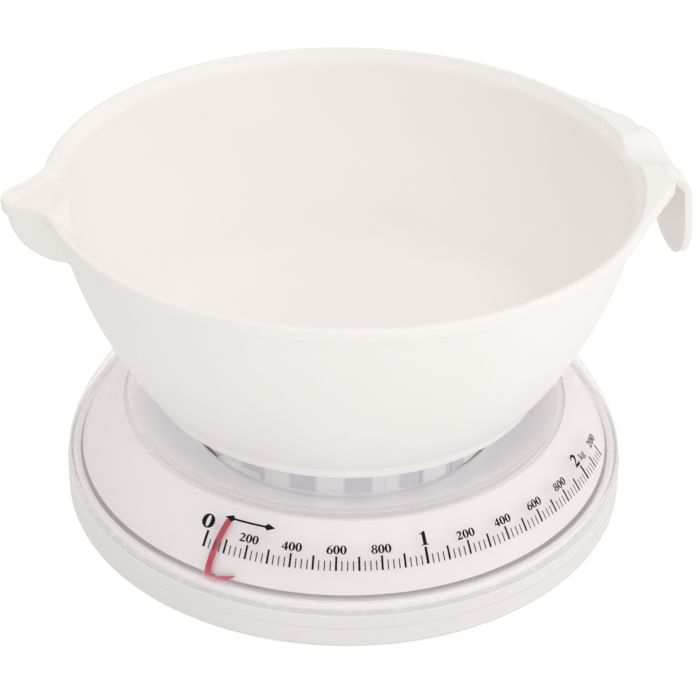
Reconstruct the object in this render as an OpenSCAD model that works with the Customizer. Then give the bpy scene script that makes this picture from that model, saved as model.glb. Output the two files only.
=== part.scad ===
// Mechanical kitchen scale with a turning dial cover, a J-shaped pointer and a lift-off pouring bowl.
// Units are millimetres. +Z is up, the table is z = 0 and the pointer's spindle is the Z axis.
// The bowl's hook handle points along +X and its pouring lip along -X.

/* [Bowl] */
// Radius over the bowl's rim band
bowl_rim_radius = 106.4; // [100:0.2:112]
// Radius of the foot ring under the bowl
bowl_foot_radius = 73.2; // [71:0.2:76]
// Height of the bowl from the foot ring to the top of the rim
bowl_height = 79.8; // [70:0.2:95]
// Thickness of the bowl's moulded wall
bowl_wall = 2.6; // [1.8:0.1:3.4]
// How far the bowl's side bulges out from a straight cone
bowl_bulge = 4.46; // [2:0.02:7]
// Height of the smooth band under the rim
rim_band_height = 4.6; // [4:0.1:7]
// How far the rim band stands out from the bowl's wall
rim_band_step = 3.6; // [2.8:0.1:5]
// Radius of the curve between the bowl's floor and its side
bowl_floor_fillet = 14; // [6:0.5:20]
// Height of the foot ring on the outside
foot_ring_height = 5.4; // [4:0.1:8]
// How far the pouring lip reaches past the rim
lip_reach = 13.8; // [10:0.2:18]
// Half width of the pouring lip where it leaves the rim
lip_half_width = 17; // [14:0.5:22]
// Depth of the trough under the pouring lip
lip_depth = 25.6; // [22:0.5:30]

/* [Handle] */
// Width of the hook handle's strap
handle_width = 43; // [38:1:52]
// How far the hook handle reaches past the rim
handle_reach = 13.6; // [12:0.2:18]
// Length of the hook handle below its crest
handle_drop = 40.5; // [34:0.5:46]
// Height of the handle's crest above the rim
handle_rise = 0.4; // [0.2:0.1:2]
// Thickness of the handle's strap
handle_thickness = 2.8; // [2.4:0.1:3.6]
// How much further out the hook's lower end is than its crest
handle_splay = 3.6; // [0:0.5:5]
// Width of the thumb channel over the handle
thumb_channel_width = 26; // [16:1:32]
// Depth of the thumb channel
thumb_channel_depth = 2.8; // [1.5:0.1:3.4]

/* [Base pan] */
// Outside radius of the base pan
pan_radius = 104.6; // [103.4:0.2:112]
// Height of the seam between the base pan and the dial cover
pan_height = 14.6; // [14:0.1:15.4]
// Thickness of the base pan's side wall
pan_wall = 2.2; // [1.6:0.1:2.8]
// Height of the small groove round the base pan
pan_groove_height = 9.2; // [5:0.1:12]
// Radius of each rubber foot
foot_radius = 7; // [5:0.5:9]

/* [Dial cover] */
// Wall thickness of the clear cover
cover_wall = 2; // [1.5:0.1:2.4]
// Height of the cover's upright skirt above the seam
skirt_height = 5.4; // [5:0.1:7]
// Height of the cover's crown above the table
crown_height = 41.8; // [40:0.1:43]
// Inner radius of the crown
crown_inner_radius = 79.5; // [76:0.5:82]
// Width of the flat crown
crown_width = 6; // [4:0.5:8]
// Radius of the round opening in the middle of the cover
opening_radius = 60.4; // [59.6:0.1:64]
// Height of the opening's edge above the table
opening_height = 33; // [32:0.1:35]
// How far the dome bulges out from a straight cone
dome_bulge = 2.45; // [1.6:0.05:3]
// How far the finger lug reaches into the opening
lug_reach = 2.9; // [1.5:0.1:3.2]
// Width of the finger lug, in degrees round the cover
lug_span = 18; // [10:1:30]

/* [Dial] */
// Angle of the zero mark, seen from above
zero_angle = -129; // [-140:0.5:-110]
// Angle the pointer turns through at full load
full_sweep = 100.7; // [80:0.5:110]
// How far past the zero mark the unloaded pointer rests
pointer_rest_offset = 1.4; // [-4:0.1:6]
// Width of the pointer's visible strip
pointer_width = 1.9; // [1.4:0.1:3.2]
// Thickness of the pointer's strip
pointer_thickness = 1.4; // [0.8:0.1:1.5]
// How far the pointer's tip leans round the dial from its lower end
pointer_lean = 2; // [-3:0.1:3]
// Sweep of the pointer's foot along the dial's lower edge, in degrees
pointer_foot_span = 9.5; // [4:0.5:14]

/* [Platform] */
// Gap between the plate and the bowl's foot ring round it
platform_gap = 2.1; // [1.2:0.1:6]
// Outside radius of the skirt under the plate
collar_radius = 56.6; // [55.6:0.1:56.8]
// How far the platform sinks at full load
platform_travel = 5; // [3.5:0.1:5.5]
// Number of upright ribs round the skirt
collar_rib_count = 26; // [12:1:36]

/* [Movement] */
// Number of teeth on the pinion
pinion_teeth = 12; // [12:1:12]
// Pitch radius of the pinion
pinion_pitch_radius = 3.3; // [3.2:0.05:3.4]
// Length of the guide links between their pins
link_length = 34; // [30:0.5:35]
// Length of the bell crank's driven arm
crank_arm = 14; // [13:0.1:15]
// Mean radius of the main spring's coils
spring_radius = 6.9; // [5.5:0.1:7.2]
// Thickness of the main spring's wire
spring_wire = 1.6; // [1:0.1:2]
// Number of turns in the main spring
spring_turns = 6; // [4:1:7]

/* [Hidden] */
$fn = 96;
// running clearance of a pin in its bore, and the free play left between parts that pass each other
pin_fit = 0.05;
free_play = 0.4;
// how far a cut runs past the face it starts from
cut = 1;

// heights of the stack, from the table up
floor_bottom = 1.6;
floor_top = 3.5;
plate_thickness = 1.6;
plate_top = floor_top + plate_thickness;
seat_height = 52;
seat_depth = 3;
bowl_foot_height = seat_height - seat_depth;
rim_top = bowl_foot_height + bowl_height;
foot_ring_wall = 2.6;

// clear cover
skirt_radius = pan_radius - 1.1;
skirt_inner_radius = skirt_radius - cover_wall;
spigot_radius = skirt_inner_radius - free_play;
spigot_wall = 1.4;
spigot_top = pan_height + 2.6;
skirt_top = pan_height + skirt_height;
crown_outer_radius = crown_inner_radius + crown_width;
// the dome is an arc of one circle through the crown's outer edge and the skirt's top
dome_chord_r = skirt_radius - crown_outer_radius;
dome_chord_z = crown_height - skirt_top;
dome_chord = sqrt(pow(dome_chord_r, 2) + pow(dome_chord_z, 2));
dome_radius = (pow(dome_chord / 2, 2) + pow(dome_bulge, 2)) / (2 * dome_bulge);
dome_sink = (dome_radius - dome_bulge) / dome_chord;
dome_centre_r = (skirt_radius + crown_outer_radius) / 2 - dome_sink * dome_chord_z;
dome_centre_z = (crown_height + skirt_top) / 2 - dome_sink * dome_chord_r;

// white dial body and pointer, nested under the cover
pointer_play = 0.7;
pointer_arc_radius = dome_radius - cover_wall - pointer_play - pointer_thickness / 2;
dial_arc_radius = pointer_arc_radius - pointer_thickness / 2 - pointer_play;
dial_wall = 1.8;
dial_edge_height = spigot_top + 1.8;
dial_drop = dome_radius - dial_arc_radius;
dial_inner_radius = opening_radius - 2.9;
arm_bottom = spigot_top - 0.4;
arm_top = arm_bottom + pointer_thickness;
pointer_angle = zero_angle + pointer_rest_offset;
hook_radius = 2.4;
riser_spread = 5;

// movement
pointer_sweep_radians = full_sweep * PI / 180;
rack_travel = pinion_pitch_radius * pointer_sweep_radians;
crank_swing = platform_travel / crank_arm * 180 / PI;
rack_arm = rack_travel * crank_arm / platform_travel;
rack_low = 7;
rack_high = 9.6;
rack_mid = (rack_low + rack_high) / 2;
rack_back = pinion_pitch_radius + 4.7;
rack_front = pinion_pitch_radius + 0.65;
crank_pivot_y = 38;
crank_pivot_z = rack_mid + rack_arm - 0.1;
drive_pin_y = crank_pivot_y - crank_arm * cos(crank_swing / 2);
drive_pin_z = crank_pivot_z + crank_arm * sin(crank_swing / 2);
rack_pin_y = crank_pivot_y - rack_arm * sin(crank_swing / 2);
crank_low_x = rack_front + 1.05;
crank_plate = 2;
crank_high_x = crank_low_x + crank_plate;
column_x0 = -11;
column_x1 = 2;
column_y0 = 16;
column_y1 = 28;
link_pin_x = -6;
link_base_x = link_pin_x - link_length;
link_rise = platform_travel / 2;
link_tilt = asin(link_rise / link_length);
lower_link_z = 16.5;
upper_link_z = 26.5;
link_pin_radius = 1.5;
link_y = [column_y0 - 2.1, column_y1 + 0.5];
link_plate = 1.6;
spring_x = 19.5;
spring_y = 22;
spring_bottom = 6.9;
spring_top = 33;
tooth_pitch = 2 * PI * pinion_pitch_radius / pinion_teeth;
tooth_add = 0.4;
tooth_ded = 0.65;
tooth_tip = 0.3;
tooth_root = 0.85;
// teeth on the rack before and after the pinion's middle, and the plain end past them
rack_teeth_low = 6;
rack_teeth_high = 2;
rack_tail = (rack_teeth_low - 0.5) * tooth_pitch + tooth_root / 2 + 0.07;
rack_head = 3.8;
rack_tab = 1.8;
rack_tab_lap = 12;
rack_tab_end = 3.4;

// pins, screws and rivets
screw_shaft = 1.5;
screw_head = 3;
screw_slot = 0.8;
rivet_shaft = 1;
crank_pin_radius = 1.5;
drive_pin_radius = 1.25;
rack_pin_radius = 1;
spindle_radius = 1.2;
bush_radius = 2.5;
bush_flange = 3.2;
spindle_top = 20.6;
adjuster_shaft = 2.5;

// platform and the carrier under it
platform_radius = bowl_foot_radius - foot_ring_wall - platform_gap;
platform_plate = 2.5;
carrier_top = seat_height - platform_plate;
collar_low = 29;
collar_wall = 1.8;
collar_rib_reach = 0.4;
collar_rib_width = 1;
collar_rib_turn = -1.7;
column_low = 15.2;
carrier_plate_x0 = -24;
carrier_plate_x1 = 26;
carrier_plate_y0 = 10;
carrier_plate_y1 = 34;
carrier_plate_length = carrier_plate_x1 - carrier_plate_x0;
carrier_plate_depth = carrier_plate_y1 - carrier_plate_y0;
carrier_plate = 3;
spring_arm_y0 = 14.5;
spring_arm_y1 = 29.5;
platform_screw_spots = [[carrier_plate_x0 + 4, 13.5], [carrier_plate_x0 + 4, 30.5], [carrier_plate_x1 - 4, 22]];

// posts that carry the dial body, chassis plate and feet
post_angles = [5, 75, 145, 215];
post_ring = crown_inner_radius - 4;
post_radius = 3.6;
dial_screw_length = 10;
chassis_x0 = -46;
chassis_x1 = 34;
chassis_y0 = -18;
chassis_y1 = 42;
chassis_corner = 6;
chassis_screw_spots = [[chassis_x0, chassis_y0], [chassis_x1, chassis_y0], [chassis_x1, chassis_y1],
    [chassis_x0, chassis_y1]];
foot_angles = [20, 110, 200, 290];
foot_ring = pan_radius - 14.6;

// the spindle's bridge
bridge_height = 12.4;
bridge_plate = 1.6;
bridge_post_x = [-10.5, 12.8];
bridge_screw_shaft = 1.1;
bridge_screw_length = 5.8;
bridge_width = 12;

// points along an arc, for a profile
function arc(cr, cz, r, a0, a1, n) =
    [for (i = [0:n]) let (a = a0 + (a1 - a0) * i / n) [cr + r * cos(a), cz + r * sin(a)]];

// points along a bulged line between two points: the bulge is to the right of the way from p to q
function bulged(p, q, b, n) =
    let (c = norm(q - p), r = (c * c / 4 + b * b) / (2 * b), u = (q - p) / c, out = [u[1], -u[0]],
        m = (p + q) / 2 - out * (r - b), half = asin(c / 2 / r))
    [for (i = [0:n]) let (a = -half + 2 * half * i / n) m + out * r * cos(a) + u * r * sin(a)];

// ---------------------------------------------------------------- bowl

wall_foot = [bowl_foot_radius + foot_ring_wall, bowl_foot_height + foot_ring_height];
wall_top = [bowl_rim_radius - rim_band_step, rim_top - rim_band_height];
inner_top = wall_top + [-bowl_wall, 0];
bowl_floor = seat_height + bowl_wall;
inner_foot = [wall_foot[0] - bowl_wall * 1.3, bowl_floor];
foot_inner_radius = bowl_foot_radius - foot_ring_wall;

module bowl_round() {
    rotate_extrude()
        polygon(concat(
            [[0, seat_height], [foot_inner_radius, seat_height], [foot_inner_radius, bowl_foot_height]],
            [[bowl_foot_radius - 0.5, bowl_foot_height], [bowl_foot_radius, bowl_foot_height + 0.5]],
            [[bowl_foot_radius + 0.3, wall_foot[1] - 0.3], [bowl_foot_radius + 1.2, wall_foot[1]]],
            bulged(wall_foot, wall_top, bowl_bulge, 14),
            [[bowl_rim_radius - 0.7, wall_top[1]], [bowl_rim_radius, wall_top[1] + 0.7]],
            arc(bowl_rim_radius - 1.3, rim_top - 1.3, 1.3, 0, 105, 6),
            [for (p = [[-2.1, -0.5], [-3.1, -1.6], [-4.3, -3.4]]) [bowl_rim_radius + p[0], rim_top + p[1]]],
            [for (i = [0:13]) bulged(inner_top, inner_foot, -bowl_bulge, 16)[i]],
            fillet_points(),
            [[0, bowl_floor]]));
}

// the curve between the side and the floor, started where the side's arc is left
function fillet_points() =
    let (side = bulged(inner_top, inner_foot, -bowl_bulge, 16)[13],
        a = [side[0], side[1]], c = [side[0] - bowl_floor_fillet, bowl_floor])
    [for (i = [1:6]) let (t = i / 6, m = [bowl_foot_radius - 2, bowl_floor + 0.2])
        a * pow(1 - t, 2) + m * 2 * t * (1 - t) + c * pow(t, 2)];

// the lip is a ball-shaped bulge in the wall, trimmed to a V in plan
lip_tip_x = -bowl_rim_radius - lip_reach;
lip_bend = lip_depth - 2;
lip_ball = [lip_tip_x + lip_bend + 0.5, 0, rim_top - 1.8];
lip_drop = 1;
lip_rim_width = 4.4;
lip_tip_radius = 5.5;

// the V-shaped outline of the lip, grown by g and carried on into the bowl by run
module lip_outline(g, run) {
    tip = lip_tip_x + lip_tip_radius;
    root = [-bowl_rim_radius + 2.6, lip_half_width + g];
    reach = root - [tip, 0];
    tangent = atan2(reach[1], reach[0]) + acos((lip_tip_radius + g) / norm(reach));
    polygon(concat(arc(tip, 0, lip_tip_radius + g, tangent, 360 - tangent, 12),
        [[root[0], -root[1]], [root[0] + run, -root[1]], [root[0] + run, root[1]], root]));
}

module lip_outer() {
    translate([0, 0, rim_top - 5.4])
        linear_extrude(5.4 - lip_drop)
            lip_outline(0, 2);
    intersection() {
        translate(lip_ball)
            sphere(r = lip_bend);
        translate([0, 0, rim_top - lip_depth - 6])
            linear_extrude(lip_depth + 2)
                lip_outline(-0.2, 14);
    }
}

module lip_inner() {
    intersection() {
        translate(lip_ball)
            sphere(r = lip_bend - bowl_wall);
        translate([0, 0, rim_top - lip_depth - 6])
            linear_extrude(lip_depth + 3)
                lip_outline(-bowl_wall, 18);
    }
    translate([0, 0, rim_top - 3.2])
        linear_extrude(6)
            lip_outline(-lip_rim_width, 18);
}

// plan outline of the rim where it runs out to the handle
module handle_plan(g) {
    hull() {
        for (s = [-1, 1])
            translate([handle_outer_x - 13.5, s * (handle_width / 2 - 5)])
                circle(r = 10 + g, $fn = 64);
        intersection() {
            circle(r = bowl_rim_radius - 1 + g);
            translate([72, -bowl_rim_radius])
                square([60, 2 * bowl_rim_radius]);
        }
    }
}

handle_outer_x = bowl_rim_radius + handle_reach;
crest_z = rim_top + handle_rise;
arch_radius = 9;

// side view of the hook: from the rim, over the crest and down
module hook_section() {
    leg_top = crest_z - arch_radius;
    leg_end = crest_z - handle_drop - 1;
    arch_start = handle_outer_x - arch_radius;
    leg_foot = handle_outer_x + handle_splay;
    translate([arch_start, leg_top])
        intersection() {
            difference() {
                circle(r = arch_radius);
                circle(r = arch_radius - handle_thickness);
            }
            square([arch_radius + 1, arch_radius + 1]);
        }
    polygon([[handle_outer_x, leg_top + 0.01], [leg_foot, leg_end],
        [leg_foot - handle_thickness, leg_end], [handle_outer_x - handle_thickness, leg_top + 0.01]]);
    polygon([[bowl_rim_radius - 2.2, rim_top - 4.4], [bowl_rim_radius - 1.6, rim_top - 0.6],
        [bowl_rim_radius + 0.6, crest_z - 0.4], [arch_start + 0.01, crest_z],
        [arch_start + 0.01, crest_z - handle_thickness], [bowl_rim_radius - 0.5, rim_top - 5.2]]);
}

// front view of the strap: its lower end is round
module strap_outline() {
    hull() {
        translate([0, crest_z - handle_drop + handle_width / 2])
            circle(r = handle_width / 2);
        for (s = [-1, 1])
            translate([s * (handle_width / 2 - 8), crest_z - 8])
                circle(r = 8, $fn = 48);
    }
}

// the hook is thicker under the thumb channel that runs over its crest
module hook() {
    half = handle_width / 2 + 1;
    intersection() {
        for (sink = [0, thumb_channel_depth])
            translate([0, half, -sink])
                rotate([90, 0, 0])
                    linear_extrude(2 * half)
                        hook_section();
        rotate([90, 0, 90])
            linear_extrude(handle_outer_x + handle_splay + 5)
                strap_outline();
    }
}

module thumb_channel() {
    bend = (pow(thumb_channel_width / 2, 2) + pow(thumb_channel_depth, 2)) / (2 * thumb_channel_depth);
    translate([bowl_rim_radius - 9, 0, crest_z - thumb_channel_depth + bend])
        rotate([0, 90, 0])
            cylinder(r = bend, h = handle_reach + 10);
}

// the room inside the bowl's wall, which the lip's and the handle's roots stay out of
module bowl_room() {
    low = bulged(wall_foot, wall_top, bowl_bulge, 14)[7];
    rotate_extrude()
        polygon(concat([[0, low[1]]],
            [for (i = [7:14]) bulged(wall_foot, wall_top, bowl_bulge, 14)[i] - [bowl_wall / 2, 0]],
            [[bowl_rim_radius - 2.6, rim_top - 2.4], [bowl_rim_radius - 1.7, rim_top - 0.9],
                [bowl_rim_radius - 1.7, rim_top + 5], [0, rim_top + 5]]));
}

// the rim widened towards the handle, hollow from below
module rim_flare() {
    difference() {
        union() {
            translate([0, 0, rim_top - rim_band_height])
                linear_extrude(rim_band_height - 0.8)
                    handle_plan(0);
            translate([0, 0, rim_top - 0.8])
                linear_extrude(0.6)
                    handle_plan(-0.7);
        }
        translate([0, 0, rim_top - rim_band_height - 1])
            linear_extrude(rim_band_height - 1.8)
                handle_plan(-2.6);
        translate([handle_outer_x - arch_radius, -handle_width / 2, rim_top - rim_band_height - 1])
            cube([arch_radius * 2, handle_width, rim_band_height + 2]);
    }
}

module bowl() {
    color([0.95, 0.94, 0.92])
        difference() {
            union() {
                bowl_round();
                difference() {
                    union() {
                        lip_outer();
                        rim_flare();
                        hook();
                    }
                    bowl_room();
                }
            }
            lip_inner();
            thumb_channel();
        }
}

// ---------------------------------------------------------------- platform group

module platform() {
    color([0.62, 0.62, 0.65]) {
        translate([0, 0, carrier_top])
            difference() {
                cylinder(r = platform_radius, h = platform_plate);
                for (p = platform_screw_spots)
                    translate([p[0], p[1], -cut])
                        cylinder(r = screw_shaft + 0.1, h = platform_plate + 2 * cut, $fn = 32);
                for (p = platform_screw_spots)
                    translate([p[0], p[1], platform_plate - 1.3])
                        cylinder(r = screw_head + 0.2, h = platform_plate, $fn = 48);
            }
        translate([0, 0, collar_low])
            difference() {
                cylinder(r = collar_radius, h = carrier_top - collar_low);
                translate([0, 0, -cut])
                    cylinder(r = collar_radius - collar_wall, h = carrier_top);
            }
        for (i = [0:collar_rib_count - 1])
            rotate([0, 0, collar_rib_turn + i * 360 / collar_rib_count])
                translate([collar_radius - collar_wall / 2, -collar_rib_width / 2, collar_low + 0.5])
                    cube([collar_wall / 2 + collar_rib_reach, collar_rib_width, carrier_top - collar_low]);
    }
}

module platform_screws() {
    color([0.75, 0.75, 0.76])
        for (p = platform_screw_spots)
            translate([p[0], p[1], 0])
                difference() {
                    union() {
                        translate([0, 0, carrier_top - carrier_plate])
                            cylinder(r = screw_shaft, h = carrier_plate + 2, $fn = 32);
                        translate([0, 0, carrier_top + 1.2])
                            cylinder(r = screw_head, h = 1.2, $fn = 48);
                    }
                    translate([1 - screw_head, -screw_slot / 2, carrier_top + 1.8])
                        cube([2 * screw_head - 2, screw_slot, cut]);
                }
}

module carrier() {
    color([0.7, 0.71, 0.73])
        difference() {
            union() {
                translate([column_x0, column_y0, column_low])
                    cube([column_x1 - column_x0, column_y1 - column_y0, carrier_top - column_low]);
                translate([carrier_plate_x0, carrier_plate_y0, carrier_top - carrier_plate])
                    cube([carrier_plate_length, carrier_plate_depth, carrier_plate]);
                translate([column_x1 - 1, spring_arm_y0, spring_top])
                    cube([spring_x + 8 - column_x1, spring_arm_y1 - spring_arm_y0, carrier_plate]);
                translate([spring_x, spring_y, spring_top - 2.6])
                    cylinder(r = spring_radius - spring_wire / 2 - 1, h = 3, $fn = 48);
            }
            for (z = [lower_link_z, upper_link_z])
                translate([link_pin_x, column_y0 - cut, z + link_rise])
                    rotate([-90, 0, 0])
                        cylinder(r = link_pin_radius, h = column_y1 - column_y0 + 2 * cut, $fn = 48);
            for (p = platform_screw_spots)
                translate([p[0], p[1], carrier_top - carrier_plate - cut])
                    cylinder(r = screw_shaft, h = carrier_plate + 2 * cut, $fn = 32);
            translate([column_x1 - 4, drive_pin_y, drive_pin_z])
                rotate([0, 90, 0])
                    cylinder(r = drive_pin_radius, h = 4 + cut, $fn = 32);
        }
}

module carrier_pins() {
    color([0.8, 0.8, 0.8]) {
        for (z = [lower_link_z, upper_link_z])
            translate([link_pin_x, link_y[0] - 1, z + link_rise])
                rotate([-90, 0, 0])
                    cylinder(r = link_pin_radius, h = link_y[1] + link_plate + 1 - link_y[0] + 1, $fn = 48);
        translate([column_x1 - 4, drive_pin_y, drive_pin_z])
            rotate([0, 90, 0])
                cylinder(r = drive_pin_radius, h = crank_high_x + 1 - column_x1 + 4, $fn = 32);
    }
}

// ---------------------------------------------------------------- cover and dial

module dome_band(outer, inner, low) {
    intersection() {
        translate([dome_centre_r, dome_centre_z])
            difference() {
                circle(r = outer, $fn = 160);
                circle(r = inner, $fn = 160);
            }
        polygon([[crown_outer_radius - 0.01 - (dome_radius - outer) * 0.5, crown_height + 5],
            [crown_outer_radius - 0.01 - (dome_radius - outer) * 0.5, dome_centre_z], [skirt_radius - 14, low],
            [skirt_radius + 4, low], [skirt_radius + 4, crown_height + 5]]);
    }
}

module cover_profile() {
    dome_band(dome_radius, dome_radius - cover_wall, skirt_top);
    // crown and crater
    crown_low = crown_height - cover_wall;
    polygon([[opening_radius, opening_height], [opening_radius, opening_height - 1.2],
        [opening_radius + 0.8, opening_height - cover_wall], [crown_inner_radius + 0.6, crown_low],
        [crown_outer_radius - 0.8, crown_low], [crown_outer_radius + 0.6, crown_low - cover_wall * 0.4],
        [crown_outer_radius + 0.6, crown_height - 0.4], [crown_outer_radius - 0.3, crown_height],
        [crown_outer_radius - 1.2, crown_height + 0.35], [crown_inner_radius + 1.2, crown_height + 0.35],
        [crown_inner_radius, crown_height - 0.3], [opening_radius + 1.2, opening_height + 0.5]]);
    // skirt, its bead and the inner groove that the base pan's bead sits in
    difference() {
        polygon([[skirt_inner_radius, pan_height], [skirt_radius + 0.5, pan_height],
            [skirt_radius + 0.5, pan_height + 2.5], [skirt_radius - 0.2, pan_height + 2.8],
            [skirt_radius - 0.2, skirt_top - 0.9], [skirt_radius + 0.25, skirt_top - 0.4],
            [skirt_radius + 0.05, skirt_top + 0.2], [skirt_radius - cover_wall, skirt_top + 0.6],
            [skirt_inner_radius, skirt_top]]);
        translate([skirt_inner_radius - 1, spigot_top - 0.9])
            square([1.8, 1.6]);
    }
}

module dial_cover() {
    color([0.86, 0.85, 0.9, 0.4]) {
        rotate_extrude($fn = 160)
            cover_profile();
        rotate([0, 0, lug_middle - lug_span / 2])
            rotate_extrude(angle = lug_span, $fn = 160)
                polygon([[opening_radius - lug_reach, opening_height - 0.2],
                    [opening_radius - lug_reach, opening_height - 1.8],
                    [opening_radius + 1.4, opening_height - 1.8],
                    [opening_radius + 1.4, opening_height + 0.4], [opening_radius, opening_height]]);
    }
}

lug_middle = zero_angle - 11.1;

module dial_profile() {
    z0 = opening_height - dial_drop;
    z1 = crown_height - dial_drop;
    translate([dome_centre_r, dome_centre_z])
        intersection() {
            difference() {
                circle(r = dial_arc_radius, $fn = 160);
                circle(r = dial_arc_radius - dial_wall, $fn = 160);
            }
            polygon([[crown_outer_radius - dome_centre_r - 3, 60], [crown_outer_radius - dome_centre_r - 3, 0],
                [dial_arc_radius - 8, dial_edge_height - dome_centre_z],
                [60, dial_edge_height - dome_centre_z], [60, 60]]);
        }
    polygon([[dial_inner_radius, z0], [dial_inner_radius, z0 - dial_wall], [crown_inner_radius, z1 - dial_wall],
        [crown_outer_radius - 2, z1 - dial_wall - 0.6], [crown_outer_radius - 2, z1 - 0.5],
        [crown_inner_radius + 0.5, z1]]);
}

// each post ends inside the crater's sloping wall, just above its underside
post_slope = (crown_height - opening_height) / (crown_inner_radius - dial_inner_radius);
post_top = opening_height - dial_drop - dial_wall + (post_ring - dial_inner_radius) * post_slope + 0.3;

module dial_body() {
    color([0.93, 0.93, 0.94])
        difference() {
            union() {
                rotate_extrude($fn = 160)
                    dial_profile();
                for (a = post_angles)
                    rotate([0, 0, a])
                        translate([post_ring, 0, floor_top])
                            cylinder(r = post_radius, h = post_top - floor_top, $fn = 48);
            }
            for (a = post_angles)
                rotate([0, 0, a])
                    translate([post_ring, 0, floor_top - cut])
                        cylinder(r = screw_shaft, h = dial_screw_length + cut, $fn = 32);
        }
}

module dial_screws() {
    color([0.75, 0.75, 0.76])
        for (a = post_angles)
            rotate([0, 0, a])
                translate([post_ring, 0, 0])
                    difference() {
                        union() {
                            translate([0, 0, 0.5])
                                cylinder(r = screw_head + 0.2, h = floor_bottom - 0.5, $fn = 48);
                            translate([0, 0, floor_bottom - 0.2])
                                cylinder(r = screw_shaft, h = dial_screw_length, $fn = 32);
                        }
                        translate([0.8 - screw_head, -screw_slot / 2, 0])
                            cube([2 * screw_head - 1.6, screw_slot, 1]);
                    }
}

// ---------------------------------------------------------------- base

module base_pan() {
    r = pan_radius;
    color([0.9, 0.9, 0.93])
        difference() {
            rotate_extrude($fn = 160)
                polygon([[0, floor_bottom], [r - 4.6, floor_bottom], [r - 3.6, 0.8], [r - 1.2, 0.8],
                    [r - 0.2, 1.5], [r + 0.2, 2.6], [r + 0.2, pan_groove_height - 0.3],
                    [r - 0.5, pan_groove_height], [r, pan_groove_height + 0.3], [r, pan_height - 0.4],
                    [r - 0.4, pan_height], [spigot_radius, pan_height],
                    [spigot_radius, spigot_top - 0.5], [spigot_radius + 0.8, spigot_top - 0.5],
                    [spigot_radius + 0.5, spigot_top], [spigot_radius - spigot_wall, spigot_top],
                    [spigot_radius - spigot_wall, pan_height - 2.4], [r - pan_wall, pan_height - 3.6],
                    [r - pan_wall, floor_top + 1.5], [r - pan_wall - 1.5, floor_top], [0, floor_top]]);
            for (a = post_angles)
                rotate([0, 0, a])
                    translate([post_ring, 0, floor_bottom - cut])
                        cylinder(r = screw_shaft, h = floor_top - floor_bottom + 2 * cut, $fn = 32);
            for (p = chassis_screw_spots)
                translate([p[0], p[1], floor_bottom - cut])
                    cylinder(r = screw_shaft, h = floor_top - floor_bottom + 2 * cut, $fn = 32);
            translate([spring_x, spring_y, floor_bottom - cut])
                cylinder(r = adjuster_shaft + 1.5, h = floor_top - floor_bottom + 2 * cut, $fn = 48);
        }
}

module rubber_feet() {
    color([0.5, 0.5, 0.52])
        for (a = foot_angles)
            rotate([0, 0, a])
                translate([foot_ring, 0, 0])
                    cylinder(r = foot_radius, h = floor_bottom);
}

module chassis() {
    color([0.72, 0.73, 0.75])
        difference() {
            translate([0, 0, floor_top])
                linear_extrude(plate_thickness)
                    hull() {
                        for (p = chassis_screw_spots)
                            translate(p)
                                circle(r = chassis_corner, $fn = 48);
                    }
            for (p = chassis_screw_spots)
                translate([p[0], p[1], 0])
                    cylinder(r = screw_shaft, h = plate_top + cut, $fn = 32);
            cylinder(r = bush_radius, h = plate_top + cut, $fn = 48);
            translate([spring_x, spring_y, 0])
                cylinder(r = adjuster_shaft + pin_fit, h = plate_top + cut, $fn = 48);
            for (p = rivet_spots)
                translate([p[0], p[1], 0])
                    cylinder(r = rivet_shaft, h = plate_top + cut, $fn = 24);
            // window that keeps the plate light
            translate([chassis_x0 + 15, 6, 0])
                cylinder(r = 6, h = plate_top + cut, $fn = 48);
        }
}

module chassis_screws() {
    color([0.75, 0.75, 0.76])
        for (p = chassis_screw_spots)
            translate([p[0], p[1], 0])
                difference() {
                    union() {
                        translate([0, 0, floor_bottom + 0.1])
                            cylinder(r = screw_shaft, h = plate_top - floor_bottom, $fn = 32);
                        translate([0, 0, plate_top])
                            cylinder(r = screw_head, h = 1.5, $fn = 48);
                    }
                    translate([-screw_head - 1, -screw_slot / 2, plate_top + 0.8])
                        cube([2 * screw_head + 2, screw_slot, 1]);
                }
}

// ---------------------------------------------------------------- guide links

bracket_x0 = link_base_x - 4.5;
bracket_x1 = link_base_x + 4.5;
bracket_tab = 6;
tab_thickness = 1.2;
link_eye = 3.2;
bracket_top = upper_link_z + link_eye + free_play;

module link_bracket() {
    color([0.68, 0.69, 0.71])
        difference() {
            union() {
                translate([bracket_x0, column_y0, plate_top])
                    cube([bracket_x1 - bracket_x0, column_y1 - column_y0, bracket_top - plate_top]);
                translate([bracket_x0, column_y0 - bracket_tab, plate_top])
                    cube([bracket_x1 - bracket_x0, column_y1 - column_y0 + 2 * bracket_tab, tab_thickness]);
            }
            for (z = [lower_link_z, upper_link_z])
                translate([link_base_x, column_y0 - cut, z])
                    rotate([-90, 0, 0])
                        cylinder(r = link_pin_radius, h = column_y1 - column_y0 + 2 * cut, $fn = 48);
            for (p = bracket_rivets)
                translate([p[0], p[1], 0])
                    cylinder(r = rivet_shaft, h = plate_top + tab_thickness + cut, $fn = 24);
        }
}

module link_pivot_pins() {
    color([0.8, 0.8, 0.8])
        for (z = [lower_link_z, upper_link_z])
            translate([link_base_x, link_y[0] - 1, z])
                rotate([-90, 0, 0])
                    cylinder(r = link_pin_radius, h = link_y[1] + link_plate + 1 - link_y[0] + 1, $fn = 48);
}

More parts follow.
